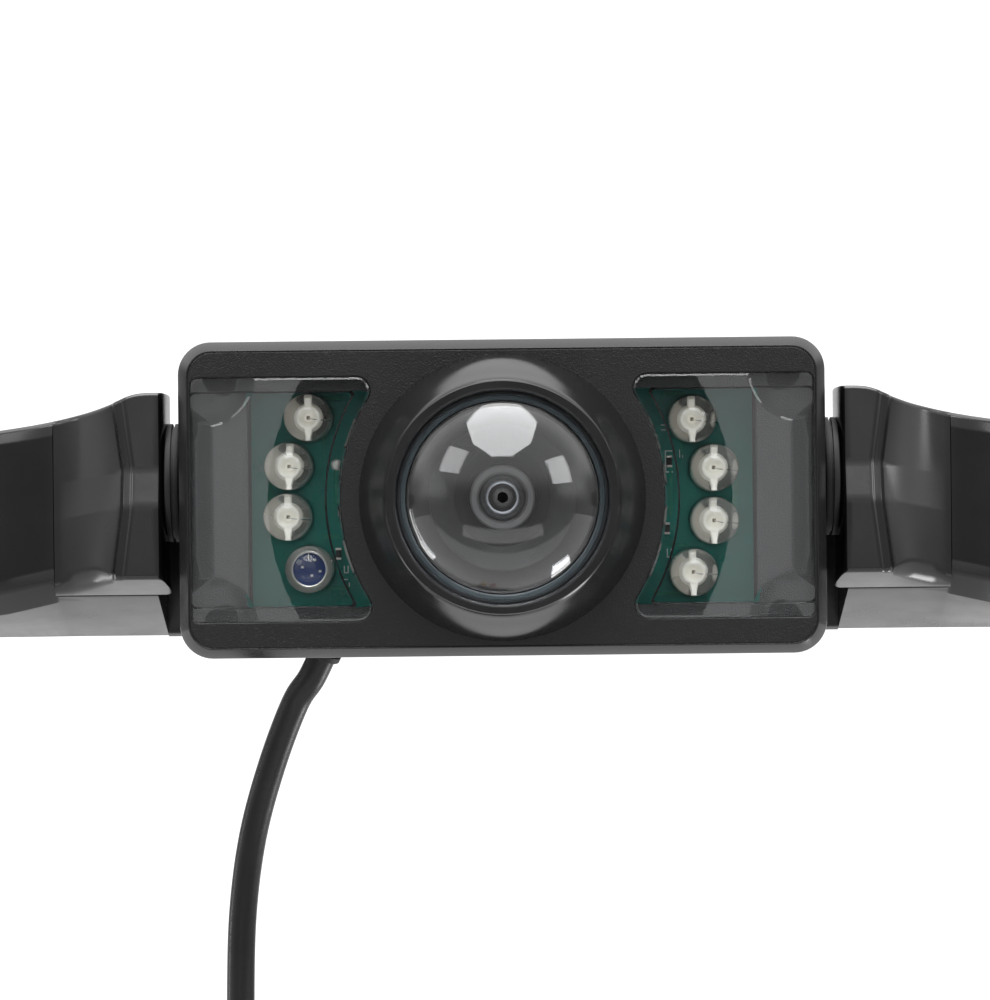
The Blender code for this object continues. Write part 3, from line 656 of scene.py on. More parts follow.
trim = Shape().lathe(TRIM)
fit(trim, "lens_trim_look", M["white"], HEAD, "pale_ring", "lens_trim_ring", sharp=50)
barrel = Shape().lathe([(2.5, -27.4), (3.3, -27.4), (3.4, -27.3), (3.4, -23.9), (2.5, -23.9)])
barrel.lathe(barrel_thread)
fit(barrel, "lens_barrel_look", M["matt"], HEAD, "matt_black", "lens_barrel")
fit(Shape().lathe(KEEPER), "retaining_ring_look", M["silver"], HEAD, "silver_ring", "retaining_ring")
lens = Shape()
lens.lathe([(1.4, -25.5), (1.4, -26.2), (1.2, -26.3), (0.8, -26.42), (0.4, -26.48), (0.0, -26.5)], steps=64)
lens.lathe([(1.35, -25.5), (0.0, -25.5)], steps=64)
fit(lens, "front_element_look", M["glass"], HEAD, "dome_glass", "front_element")

# ---- LED board
BOARD_Y, BOARD_BACK = -20.2, -19.1
board = Shape()
board_loop, board_hole = rect(52.4, 24.6, 1.2, steps=6), circle(9.4)
for y in (BOARD_Y, BOARD_BACK):
    board.sheet(board_loop, [board_hole], y)
for loop in (board_loop, board_hole):
    board.loft([ring(loop, BOARD_Y), ring(loop, BOARD_BACK)])
fit(board, "led_board_look", M["green"], HEAD, "green_board", "led_board", sharp=30)

LEDS = (
    (-20.1, 8.5), (-22.15, 3.45), (-22.3, -1.8),
    (19.8, 7.95), (22.0, 2.9), (22.0, -2.6), (19.8, -7.95),
)
SENSOR = (-20.1, -7.25)
LAMP_R, LAMP_TOP, LAMP_FOOT = 2.45, -26.0, -20.3
LAMP_FLANGE = (
    (2.55, LAMP_FOOT), (2.6, -20.4), (2.6, -21.3), (2.55, -21.4), (2.48, -21.45), (LAMP_R, -21.6),
    (LAMP_R, LAMP_TOP),
)
CUP_Y = -25.2
# profiles are (radius, depth past the cup's rim), outlines (across, up, corner radius) about the lamp's axis
CUP = (
    (0.0, 0.32), (0.2, 0.32), (0.42, 0.03), (0.47, 0.0), (0.57, 0.0), (0.62, 0.06), (0.6, 0.6),
    (0.5, 0.75), (0.0, 0.75),
)
STEM = (
    (-0.24, -0.48, 0.06), (0.24, -0.48, 0.06), (0.13, -1.0, 0.05), (0.17, -1.28, 0.05),
    (-0.17, -1.28, 0.05), (-0.13, -1.0, 0.05),
)
ANVIL = ((-1.35, -0.62, 0.1), (-0.2, -0.8, 0.1), (0.35, 0.1, 0.1), (-0.5, 0.6, 0.1), (-1.3, 0.2, 0.1))
WING = ((0.62, -0.5, 0.08), (1.15, -0.3, 0.08), (1.0, 0.55, 0.08), (0.66, 0.45, 0.08))


def lamp_body(x, z):
    """Moulded 5 mm lamp: flange, barrel and round nose."""
    turns = [math.pi / 2 * k / 16 for k in range(1, 16)]
    nose = [(LAMP_R * math.cos(a), LAMP_TOP - 2.6 * math.sin(a)) for a in turns]
    lamp = Shape()
    lamp.lathe([*LAMP_FLANGE, *nose, (0.0, LAMP_TOP - 2.6)], centre=(x, z), steps=72)
    return lamp.lathe([(2.55, LAMP_FOOT), (0.0, LAMP_FOOT)], centre=(x, z), steps=72)


def behind_cup(profile):
    return [(r, CUP_Y + y) for r, y in profile]


def moved(outline, x, z, steps):
    return rounded([(x + u, z + v, r) for u, v, r in outline], steps)


def slab(shape, outline, y1, y2, mat=0):
    """A thin flat piece between two depths with a softened front edge."""
    soft = grown(outline, -0.04)
    rings = [ring(outline, y2), ring(outline, y1 + 0.04), ring(soft, y1)]
    shape.loft(rings, caps=(True, True), mat=mat)


rng = random.Random(11)
frame_mats = [M["leadframe"], M["anvil"], M["cast"]]
for i, (x, z) in enumerate(LEDS):
    name = "ir_led_%d" % (i + 1)
    fit(lamp_body(x, z), name + "_look", M["epoxy"], HEAD, "clear_epoxy", name)
    f = Shape()
    wob = rng.uniform(-0.06, 0.06)
    f.lathe(behind_cup(CUP), centre=(x, z), steps=48)
    # tab above the cup, tapered stem and pad below it
    slab(f, rect(0.36, 0.46, 0.08, x + wob, z + 0.82, 4), CUP_Y - 0.02, CUP_Y + 0.3)
    slab(f, moved(STEM, x, z, 3), CUP_Y + 0.02, CUP_Y + 0.3)
    # anvil behind the cup, its wing to one side, and the two legs
    slab(f, moved(ANVIL, x, z, 4), CUP_Y + 1.1, CUP_Y + 1.5, mat=1)
    slab(f, moved(WING, x, z, 4), CUP_Y + 0.9, CUP_Y + 1.3, mat=1)
    for leg in (-0.9, 0.85):
        slab(f, rect(0.5, 0.5, 0.08, x + leg, z - 0.1, 3), CUP_Y + 1.4, -20.35, mat=1)
    # moulded floor of the lamp
    dip = -21.05 - 0.1 * rng.random()
    f.lathe([(2.3, -20.9), (1.5, dip), (0.7, -20.85), (0.0, -20.95)], centre=(x, z), steps=40, mat=2)
    fit(f, name + "_leadframe", frame_mats, HEAD, "silver_ring", sharp=35)
    die = Shape()
    slab(die, rect(0.16, 0.16, 0.02, x, z, 2), CUP_Y + 0.2, CUP_Y + 0.33)
    fit(die, name + "_die", M["die"], HEAD, "chip", sharp=30)
    wire = [(x, CUP_Y + 0.2, z), (x + 0.3, CUP_Y - 0.3, z - 0.1), (x + 0.8, CUP_Y + 0.9, z - 0.1)]
    bond = tube(Shape(), smooth_path(wire, 8), 0.025, sides=8)
    fit(bond, name + "_bond_wire", M["silver"], HEAD, "silver_ring", sharp=0)

# light sensor: the same body with a dark blue disc in it
x, z = SENSOR
DISC = ((0.0, 0.2), (0.78, 0.2), (0.8, 0.25))
DISC_RIM = ((0.8, 0.25), (0.82, 0.1), (0.87, 0.08), (0.92, 0.14), (0.93, 1.2), (0.0, 1.2))
fit(lamp_body(x, z), "light_sensor_look", M["epoxy"], HEAD, "sensor_blue", "light_sensor")
e = Shape()
e.lathe(behind_cup(DISC), centre=(x, z), steps=48)
e.lathe(behind_cup(DISC_RIM), centre=(x, z), steps=48, mat=1)
slab(e, rect(0.06, 0.3, 0.02, x - 0.05, z + 0.62, 2), CUP_Y + 0.12, CUP_Y + 0.3, mat=1)
for px, pz in ((0.25, 0.45), (-0.35, 0.1), (0.1, -0.3), (0.5, -0.1)):
    slab(e, rect(0.16, 0.13, 0.04, x + px, z + pz, 2), CUP_Y + 0.17, CUP_Y + 0.3, mat=2)
e.lathe([(2.3, -20.9), (1.2, -21.0), (0.0, -20.9)], centre=(x, z), steps=40, mat=3)
disc_mats = [M[key] for key in ("sensor", "anvil", "nylon", "cast")]
fit(e, "light_sensor_disc", disc_mats, HEAD, "sensor_blue", sharp=30)

# board details: traces under the mask, legend marks, small parts, solder
TRACES = (
    (-17.9, -3.9, 1.7, 0.45), (-17.4, 1.2, 0.35, 4.2), (-18.6, 5.6, 0.3, 2.6), (-17.2, -9.3, 2.4, 0.4),
    (17.6, 0.4, 0.35, 5.0), (18.2, -5.2, 2.2, 0.35), (18.8, 5.4, 0.35, 2.4), (24.3, 0.1, 0.5, 9.0),
    (-24.3, 0.4, 0.5, 9.0), (17.4, -10.2, 2.8, 0.4), (-18.0, 10.6, 2.6, 0.4), (18.0, 10.7, 2.6, 0.4),
)
LEGEND = (
    (17.1, 3.6, 0.14, 2.2), (17.45, 4.7, 0.8, 0.14), (17.45, 2.5, 0.8, 0.14), (18.6, 4.4, 0.12, 0.9),
    (18.9, 4.4, 0.12, 0.9), (-16.6, -7.3, 0.14, 0.7), (-16.2, -7.3, 0.14, 0.7), (-16.4, -7.7, 0.5, 0.12),
    (-16.5, -8.4, 0.6, 0.12), (-16.1, -9.0, 0.12, 0.6), (16.9, 6.9, 0.5, 0.12), (16.9, 7.4, 0.5, 0.12),
    (17.2, -5.9, 0.12, 0.8), (17.6, -5.9, 0.12, 0.8), (17.4, -6.4, 0.6, 0.12),
)
for name, spots, mat, rounding, steps, proud in (
    ("board_traces", TRACES, "trace", 0.45, 3, 0.05),
    ("board_legend", LEGEND, "silk", 0.4, 2, 0.035),
):
    marks = Shape()
    for px, pz, w, h in spots:
        outline = rect(w, h, min(w, h) * rounding, px, pz, steps)
        slab(marks, outline, BOARD_Y - proud, BOARD_Y + 0.2)
    fit(marks, name, M[mat], HEAD, "green_board", sharp=30)

SOLDER = ((0.62, 0.1), (0.6, -0.12), (0.45, -0.3), (0.2, -0.38), (0.0, -0.4))
parts = Shape()
parts.lathe([(r, BOARD_Y + y) for r, y in SOLDER], centre=(-17.3, 3.6), steps=24, mat=1)
for px, pz in ((17.5, 3.6), (17.2, -3.4), (-17.2, -5.7)):
    slab(parts, rect(0.55, 0.9, 0.05, px, pz, 2), BOARD_Y - 0.4, BOARD_Y + 0.1)
    for end in (-0.5, 0.5):
        slab(parts, rect(0.6, 0.25, 0.05, px, pz + end, 2), BOARD_Y - 0.42, BOARD_Y + 0.1, mat=1)
fit(parts, "board_parts", [M["chip"], M["anvil"]], HEAD, "chip", sharp=30)


# ---- bar and ear covers
def cut(ob, shape):
    """Takes a shape out of a piece."""
    cutter = shape.make("cutter", M["matt"], sharp=0)
    mod = ob.modifiers.new("cut", "BOOLEAN")
    mod.operation = "DIFFERENCE"
    mod.solver = "EXACT"
    mod.object = cutter
    bpy.context.view_layer.update()
    seen = ob.evaluated_get(bpy.context.evaluated_depsgraph_get())
    me = bpy.data.meshes.new_from_object(seen)
    ob.modifiers.clear()
    ob.data = me
    bpy.data.objects.remove(cutter, do_unlink=True)
    me.shade_smooth()
    me.set_sharp_from_angle(angle=math.radians(28))

TOP_LINE = (
    (0.0, 11.1), (37.4, 11.3), (38.6, 11.1), (39.6, 10.7), (40.6, 10.2), (42.9, 9.5), (46.2, 8.68),
    (49.5, 8.08), (52.3, 7.7), (58.0, 7.0), (70.0, 6.6), (200.0, 6.5),
)
FOLD = ((42.6, -9.9), (46.5, -10.5), (52.3, -11.8), (60.0, -12.9), (76.0, -13.6), (200.0, -13.6))


def bar_top(x):
    """Height of the top edge: level on the ear, then falling away along the arm."""
    total, weight = 0.0, 0.0
    for k in range(-3, 4):
        u = abs(x) + 0.25 * k
        for (x1, z1), (x2, z2) in zip(TOP_LINE, TOP_LINE[1:]):
            if u <= x2:
                total += z1 + (z2 - z1) * (u - x1) / (x2 - x1)
                weight += 1
                break
    return total / weight


def bar_depth(x):
    e = ease((abs(x) - 47.0) / 29.0)
    return ROOT_DEPTH * (1 - e) + ARM_DEPTH * e


def section(x, corners, steps=5):
    return [(x, y, z) for y, z in rounded(corners, steps)]


def fold(x):
    """Height of the crease where the underside turns up into the front of the arm."""
    for (x1, z1), (x2, z2) in zip(FOLD, FOLD[1:]):
        if abs(x) <= x2:
            return z1 + (z2 - z1) * clamp((abs(x) - x1) / (x2 - x1))
    return FOLD[-1][1]


def arm_section(x, shrink=0.0):
    d, top = bar_depth(x) - shrink, bar_top(x) - shrink * 0.6
    bevel = min(3.6, d * 0.5)
    low = fold(x) + shrink * 0.6
    corners = (
        (0, BAR_BOTTOM + shrink * 0.6, 0.3), (-(d - bevel), low, 0.6), (-(d - 0.6), low + 2.3, 1.3),
        (-d, low + 3.8, 2.0), (-d, top - 1.5, 1.0), (-(d - 0.35), top - 0.35, 0.35),
        (-(d - 1.3), top, 0.4), (0, top, 0.3),
    )
    return section(x, corners)


def block_section(x):
    top = bar_top(x)
    corners = [(0, BAR_BOTTOM, 0.3)]
    for y, r in ((SEAM_Y + 2, 0.2), (SEAM_Y + 1, 0.2), (SEAM_Y, 0.12)):
        corners.append((y, BAR_BOTTOM - UNDER * y, r))
    corners += [(SEAM_Y + 0.6 - d, top - d, 0.12) for d in (0.6, 0.3, 0.0)]
    return section(x, corners + [(0, top, 0.3)])


def strip_section(x):
    corners = (
        (0, BAR_BOTTOM), (-1.4, BAR_BOTTOM), (-2.6, BAR_BOTTOM + 0.4), (-2.6, BAR_BOTTOM + 2),
        (-2.6, 6.0), (-2.6, 7.6), (-1.4, 8.0), (0, 8.0),
    )
    return section(x, [(y, z, 0.3) for y, z in corners])


END_STEPS = ((168.0, 1.5), (167.85, 0.8), (167.4, 0.3), (166.5, 0.0))
half = [arm_section(x, shrink) for x, shrink in END_STEPS]
half += [arm_section(x) for x in (150, 135, 120, 105, 95, 85)]
x = 78.0
while x > 47.3:
    half.append(arm_section(x))
    x -= 1.5
half.append(arm_section(RAMP_END + 0.3))
half += [block_section(x) for x in (RAMP_END, 44.0, 41.0, 38.0, BLOCK_IN)]
half += [strip_section(x) for x in (BLOCK_IN - 0.1, 12.0)]
mirrored = [[(-px, y, z) for px, y, z in loop] for loop in reversed(half)]
bar = Shape().loft(half + mirrored, caps=(True, True)).make("bar_look", M["bar"], sharp=28)
for side in (1, -1):
    slot = rect(20, 6.6, 3.29, side * SLOT_X, -3.4, 10)
    cut(bar, Shape().loft([ring(slot, -30), ring(slot, 5)], caps=(True, True)))
    pocket = []
    for px in (37.6, 42.0, 46.5, 50, 53, 56, 59, 62, 65, 68):
        back = bar_depth(px) - 2.2 if px > RAMP_END else -SEAM_Y - 2.2
        top, low = bar_top(px) - 2.0, BAR_BOTTOM + 2.2
        corners = ((2, low), (-back, low + UNDER * back), (-back, top - 0.8), (2, top))
        pocket.append([(side * px, y, z) for y, z in corners])
    cut(bar, Shape().loft(pocket, caps=(True, True)))
dress(bar, BRACKET, "black_abs", "bar")


PAD_OUT, PAD_STEP = 40.6, 1.2


def ramp_front(x):
    """Depth of the cover's front: the pad on the ear, then a hollow slope to the arm."""
    if x < PAD_OUT + 0.05:
        return EAR_FRONT
    t = clamp((x - PAD_OUT) / (RAMP_END - PAD_OUT))
    return EAR_FRONT + PAD_STEP + (EAR_DROP - PAD_STEP) * (1 - (1 - t) ** 1.25)


def cover_section(x, inset=0.0, lower=0.0):
    """Section across the cover: underside, rounded foot, stepped front, rounded top.
    inset shrinks it all round, lower sets only its front back."""
    on_ear = 1 - ease((x - 39.6) / 3.4)
    front = ramp_front(x) + inset + lower
    top = bar_top(x) - inset
    seam = SEAM_Y - 0.3
    low = BAR_BOTTOM - UNDER * seam + inset
    foot_y = front + 0.2
    foot = BAR_BOTTOM - UNDER * foot_y + inset - 0.4 * on_ear
    back = 1.25 * on_ear
    lean = 1.1 * (1 - on_ear) * (1 - ease((x - 44.0) / 2.9))
    foot_r = 0.6 * on_ear + min(2.8, 1.15 * (seam - foot_y)) * (1 - on_ear)
    corners = (
        (seam, low, 0.12), (foot_y, foot, foot_r), (front, foot + 7.6, 3.4),
        (front + back + 0.3 * lean + 0.001, foot + 11.4, 3.4),
        (front + back + 0.12 + lean, top, 0.4 * on_ear + 0.6 * (1 - on_ear)), (seam, top, 0.12),
    )
    # the pad's outer edge is waisted: nearest the head at mid height
    waist = ease((x - 37.0) / 2.0) * (1 - ease((x - 41.0) / 5.0))
    return [(x - 0.95 * waist * clamp(1 - ((z - 1.5) / 8.5) ** 2), y, z) for y, z in rounded(corners, 9)]


# rows along the cover: place, how far it is drawn in all round, and how far its front is set back
INNER_EDGE = (
    (-0.5, 0.4, 4.6), (-0.47, 0.3, 4.3), (-0.4, 0.2, 3.5), (-0.3, 0.1, 2.5), (-0.16, 0.05, 1.3),
    (0.0, 0.0, 0.55), (0.16, 0.0, 0.2), (0.34, 0.0, 0.04), (0.55, 0.0, 0.0),
)
PAD_EDGE = (
    (39.42, 0.04), (39.52, 0.14), (39.62, 0.2), (39.75, 0.22), (40.15, 0.24), (40.28, 0.3),
    (40.42, 0.5), (40.52, 0.8), (PAD_OUT, 1.15),
)
RAMP_START, COVER_END = PAD_OUT + 0.15, RAMP_END + 0.22
rows = [(EAR_IN + place_x, inset, lower) for place_x, inset, lower in INNER_EDGE]
rows += [(x, 0, 0) for x in (36.5, 37.0, 37.5, 38.0, 38.5, 39.0, 39.3)]
rows += [(x, 0, lower) for x, lower in PAD_EDGE]
rows += [(RAMP_START + (COVER_END - RAMP_START) * k / 20, 0, 0) for k in range(21)]
WASHER = (
    (1.8, 33.6), (5.9, 33.6), (6.12, 33.7), (6.2, 33.9), (6.2, 34.2), (5.8, 34.25), (5.8, 34.45),
    (6.2, 34.5), (6.2, 34.8), (6.12, 35.0), (5.9, 35.1), (1.8, 35.1), (1.8, 33.6),
)
BOLT_HOLE = ((0, 30), (1.8, 30), (1.8, 38.5), (0, 38.5))


def on_pivot(profile, side, steps):
    """A turned shape about the tilt axis, on one side of the head."""
    places = [(r, side * px) for r, px in profile]
    return Shape().lathe(places, centre=(PIVOT_Y, PIVOT_Z), steps=steps, axis="x")


for side, name in ((1, "right"), (-1, "left")):
    loops = []
    for row_x, inset, lower in rows:
        loops.append([(side * px, y, z) for px, y, z in cover_section(row_x, inset, lower)])
    cover = Shape().loft(loops, caps=(True, True))
    cover = cover.make("ear_cover_%s_look" % name, M["cover"], sharp=24)
    well_front = ring(rect(2.5, 8.6, 0.3, side * 38.65, PIVOT_Z, 3), -21.6)
    well_back = ring(rect(2.8, 8.6, 0.3, side * 38.8, PIVOT_Z, 3), -10)
    cut(cover, Shape().loft([well_front, well_back], caps=(True, True)))
    cut(cover, on_pivot(BOLT_HOLE, side, 32))
    dress(cover, BRACKET, "black_abs", "ear_cover_" + name)
    washer = "friction_washer_" + name
    fit(on_pivot(WASHER, side, 96), washer + "_look", M["matt"], BRACKET, "matt_black", washer, sharp=35)

# ---- rear housing, gland
INSIDE, PANEL_IN = 1.8, 4.5
HOUSING_STEPS = (
    (INSIDE, SEAL_Y), (0.25, SEAL_Y), (0.06, SEAL_Y + 0.06), (0.0, SEAL_Y + 0.2), (0.0, REAR_Y - 1.25),
    (0.06, REAR_Y - 0.95), (0.85, REAR_Y - 0.12), (1.2, REAR_Y), (4.2, REAR_Y), (4.35, REAR_Y),
    (PANEL_IN, REAR_Y - 0.5),
)
h = head_loft(Shape(), HOUSING_STEPS)
h.sheet([(x, z) for x, y, z in head_loop(PANEL_IN, 0)], [], REAR_Y - 0.5)
head_loft(h, ((INSIDE, SEAL_Y), (INSIDE, REAR_Y - 2.0)))
h.sheet([(x, z) for x, y, z in head_loop(INSIDE, 0)], [], REAR_Y - 2.0)
fit(h, "rear_housing_look", M["housing"], HEAD, "black_abs", "rear_housing", sharp=28)
seal_front, seal_back = SPLIT_Y + 0.1, SEAL_Y - 0.1
seal_steps = [(INSIDE, seal_front), (0.45, seal_front), (0.45, seal_back), (INSIDE, seal_back)]
seal = head_loft(Shape(), seal_steps + seal_steps[:1])
fit(seal, "housing_seal_look", M["rubber"], HEAD, "seal_rubber", "housing_seal", sharp=35)

# ---- lead, coil, splitter and tails
COIL = Vector((-10.5, -7.0, -90.0))
COIL_R, TURNS, PITCH = 18.0, 6, 3.06
TIE = 62.0
SPOTS = [(0, -1), (0.866, -0.5), (0.866, 0.5), (0, 0), (-0.866, -0.5), (-0.866, 0.5), (0, 1)]


def coil_point(turn):
    """turn is in degrees from 180, where the lead comes in from above."""
    done = (turn - TIE) / 360.0 - 1.0
    k = int(math.floor(done + 0.5))
    t = ease((done - k) * 360.0 / 56.0 + 0.5)
    lo = SPOTS[int(clamp(k, 0, len(SPOTS) - 1))]
    hi = SPOTS[int(clamp(k + 1, 0, len(SPOTS) - 1))]
    if k < 0:
        hi = lo = SPOTS[0]
    dr = PITCH * (lo[0] + (hi[0] - lo[0]) * t)
    dy = PITCH * (lo[1] + (hi[1] - lo[1]) * t)
    a = math.radians(turn)
    r = COIL_R + dr
    return Vector((COIL.x + r * math.cos(a), COIL.y + dy, COIL.z + r * math.sin(a)))


route = [
    GLAND_END - LEAD_DIR * 1.5,
    GLAND_END + LEAD_DIR * 2.6,
    (-22.3, -11.4, -21.7),
    (-24.9, -9.6, -28.3),
    (-27.1, -8.0, -36.0),
    (-28.3, -7.4, -44.5),
    (-28.6, -8.0, -54.5),
    (-28.5, -9.9, -65.0),
    (-28.5, -11.5, -76.0),
    (-28.5, -11.0, -84.0),
]
lead_path = smooth_path(route + [coil_point(180), coil_point(196)], 8)[:-8]
lead_path += [coil_point(turn) for turn in range(180, 180 + 360 * TURNS, 6)]
end_turn = 180 + 360 * TURNS
tail = [coil_point(end_turn - 14), coil_point(end_turn), (-28.5, -2.7, -98.0), (-28.5, -3.4, -104.0)]
tail += [(-28.5, -6.0, -109.0), (-28.5, -7.0, -113.5)]
lead_path += smooth_path(tail, 6)[6:]
clean = [lead_path[0]]
for p in lead_path[1:]:
    if (p - clean[-1]).length > 0.25:
        clean.append(p)
lead_path = clean
lead_ob = tube(Shape(), lead_path, LEAD_R, sides=24).make("lead_look", M["pvc"], sharp=0)
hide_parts("lead", "lead_coil", "lead_end")
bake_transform(lead_ob)

gland_profile = [(0.0, -7.2), (3.6, -7.2), (3.75, -7.0), (3.75, -5.6), (3.55, -5.3), (2.3, -4.9)]
for k in range(4):
    z0 = -4.7 + k * 1.15
    outer, waist = 2.25 - 0.08 * k, 1.95 - 0.05 * k
    gland_profile += [(outer, z0), (waist, z0 + 0.12), (waist, z0 + 0.45), (outer - 0.05, z0 + 0.6)]
gland_profile += [(1.95, -0.1), (1.85, 0.0), (1.5, 0.0), (1.5, -2.0)]
gland = Shape().lathe(gland_profile, steps=40, axis="z").make("cable_gland_look", M["rubber"], sharp=40)
gland.data.transform(Vector((0, 0, 1)).rotation_difference(LEAD_DIR).to_matrix().to_4x4())
gland.location = GLAND_END * MM
bpy.context.view_layer.update()
dress(gland, HEAD, "seal_rubber", "cable_gland")

tie_turn = math.radians(TIE)
out_dir = Vector((math.cos(tie_turn), 0, math.sin(tie_turn)))
tie_at = COIL + out_dir * COIL_R
along = Vector((-math.sin(tie_turn), 0, math.cos(tie_turn)))
loops = []
for w, grow in ((-1.3, 0.0), (-1.3, 0.45), (-1.1, 0.62), (1.1, 0.62), (1.3, 0.45), (1.3, 0.0)):
    loop = []
    for k in range(48):
        a = 2 * math.pi * k / 48
        r = 4.75 + grow + 0.12 * math.cos(6 * a)
        loop.append(tie_at + along * w + out_dir * r * math.cos(a) + Vector((0, 1, 0)) * r * math.sin(a))
    loops.append(loop)
tie = fit(Shape().loft(loops), "coil_tie_look", M["matt"], BRACKET, "matt_black", "coil_tie", sharp=35)

TAIL_X, SPLIT_Z = COIL.x - COIL_R, COIL.z - 27.1
SPLIT_EDGE = ((-9.6, 0.9), (-9.5, 0.45), (-9.25, 0.15), (-8.9, 0.0))
SPLIT_BACK = ((-5.1, 0.0), (-4.75, 0.15), (-4.5, 0.45), (-4.4, 0.9))
loops = []
for y, inset in SPLIT_EDGE + SPLIT_BACK:
    outline = rect(9.0 - 2 * inset, 15.0 - 2 * inset, 2.0 - inset * 0.8, TAIL_X, SPLIT_Z, 6)
    loops.append(ring(outline, y))
split = Shape().loft(loops, caps=(True, True))
for k in range(3):
    z = SPLIT_Z + 3.4 - 2.6 * k
    foot, crest = rect(6.4, 1.1, 0.5, TAIL_X, z, 4), rect(5.9, 0.7, 0.33, TAIL_X, z, 4)
    split.loft([ring(foot, -9.3), ring(foot, -9.9), ring(crest, -10.0)], caps=(True, True))
splitter = fit(split, "y_splitter_look", M["rubber"], BRACKET, "seal_rubber", "y_splitter")


def grooves(count, top, radii, grow):
    """Profile of grooves 1.5 mm apart, downward; radii are the lip before, the floor and the lip after."""
    out = []
    for k in range(count):
        z = top - 1.5 * k
        before, bottom, after = (r + grow * k for r in radii)
        out += [(before, z), (bottom, z - 0.2), (bottom, z - 0.6), (after, z - 0.8)]
    return out


SLEEVE = [(1.1, 2.0), (1.9, 2.0), (2.0, 1.8)]
VIDEO_BODY = SLEEVE + grooves(5, -0.6, (2.05, 1.7, 2.1), 0.07)
VIDEO_BODY += [(2.6, -8.2), (4.2, -10.0), (4.45, -10.6)] + grooves(6, -11.4, (4.5, 4.3, 4.53), 0.03)
VIDEO_BODY += [(4.75, -21.5), (4.6, -22.2), (4.2, -22.4), (0.0, -22.4)]
POWER_BODY = SLEEVE + grooves(4, -0.6, (2.05, 1.7, 2.1), 0.07)
POWER_BODY += [(2.6, -7.2), (4.7, -9.0), (4.9, -9.6), (4.9, -29.4), (4.7, -29.9), (4.3, -30.0)]
POWER_BODY += [(3.2, -30.0), (3.1, -29.7), (3.1, -22.4), (0.0, -22.4)]
PHONO_SHELL = (
    (0.0, -22.4), (4.1, -22.4), (4.15, -22.7), (4.15, -28.6), (4.0, -29.0), (3.75, -29.0),
    (3.7, -28.6), (3.7, -23.4), (1.6, -23.4),
)
PHONO_PIN = ((1.6, -23.4), (1.6, -36.2), (1.45, -36.8), (1.1, -37.3), (0.5, -37.6), (0.0, -37.6))
JACK_PIN = ((0.0, -28.6), (0.8, -28.5), (1.0, -28.1), (1.0, -22.3))
VIDEO = (-1, "video_tail", "video_plug", "yellow", VIDEO_BODY, ((48, PHONO_SHELL), (32, PHONO_PIN)))
POWER = (1, "power_tail", "power_jack", "red", POWER_BODY, ((32, JACK_PIN),))
TAIL_POINTS = (
    (2.3, -3.5), (2.3, -7.9), (2.8, -12.9), (5.0, -18.9), (8.0, -24.9), (9.4, -31.9), (9.4, -36.0),
)

for side, tail_name, end_name, colour, outline, metal_parts in (VIDEO, POWER):
    line = smooth_path([(TAIL_X + side * dx, COIL.y, SPLIT_Z + dz) for dx, dz in TAIL_POINTS], 8)
    cord = tube(Shape(), line, TAIL_R, sides=20)
    tail_ob = fit(cord, tail_name + "_look", M["pvc"], BRACKET, "cable_pvc", tail_name, sharp=0)
    end_at = (TAIL_X + side * TAIL_POINTS[-1][0], COIL.y)
    plug = Shape().lathe(outline, centre=end_at, steps=48, axis="z")
    plug = plug.make(end_name + "_look", M[colour], sharp=40)
    metal = Shape()
    for steps, profile in metal_parts:
        metal.lathe(profile, centre=end_at, steps=steps, axis="z")
    metal = metal.make(end_name + "_contact", M["steel"], sharp=40)
    for ob in (plug, metal):
        ob.location = (0, 0, (SPLIT_Z - 32.3) * MM)
    bpy.context.view_layer.update()
    dress(plug, BRACKET, "yellow_plug" if side < 0 else "red_jack", end_name)
    dress(metal, BRACKET, "screw_steel")

# ---- what is left keeps its CAD shape
LEFT = {
    "cover_screw": "black_steel", "housing_screw": "steel", "board_screw": "steel", "pivot_bolt": "steel",
    "sensor_board": "green", "image_sensor": "chip", "lens_holder": "matt", "dome_seal": "rubber",
}
for name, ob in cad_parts.items():
    for key, mat in LEFT.items():
        if name.startswith(key):
            ob.data.materials.clear()
            ob.data.materials.append(M[mat])

# ---- floor, lights, camera
staged = []


def plane(name, corners, mat, hidden=True):
    me = bpy.data.meshes.new(name)
    me.from_pydata([tuple(c) for c in corners], [], [tuple(range(len(corners)))])
    me.materials.append(mat)
    ob = bpy.data.objects.new(name, me)
    scene.collection.objects.link(ob)
    ob.visible_camera = not hidden
    ob.visible_shadow = not hidden
    ob.visible_diffuse = not hidden
    staged.append(ob)
    return ob


CAM = Vector((-0.00077, -0.531, -0.00025))
LOOK = Vector((0, -0.031, 0))


def panel(name, direction, distance, width, height, power, sides=4, spin=0.0, centre=LOOK):
    """A flat lamp facing the camera head; half sizes are tangents of half angles."""
    d = Vector(direction).normalized()
    side = d.cross(Vector((0, 0, 1)))
    side = side.normalized() if side.length > 1e-3 else Vector((1, 0, 0))
    up = side.cross(d).normalized()
    at = centre + d * distance
    pts = []
    for k in range(sides):
        a = math.radians(spin) + 2 * math.pi * (k + 0.5) / sides
        c = math.cos(math.pi / sides)
        across = side * (math.cos(a) / c * width * distance)
        pts.append(at + across + up * (math.sin(a) / c * height * distance))
    return plane(name, pts, bright(name, power))


world = bpy.data.worlds.new("tent")
scene.world = world
world.use_nodes = True
wn = world.node_tree
wn.nodes["Background"].inputs["Color"].default_value = (1, 1, 1, 1)


def wmath(op, a, b=None):
    m = wn.nodes.new("ShaderNodeMath")
    m.operation = op
    for k, v in enumerate((a, b)):
        if isinstance(v, (int, float)):
            m.inputs[k].default_value = v
        elif v is not None:
            link(wn, v, m.inputs[k])
    return m.outputs[0]


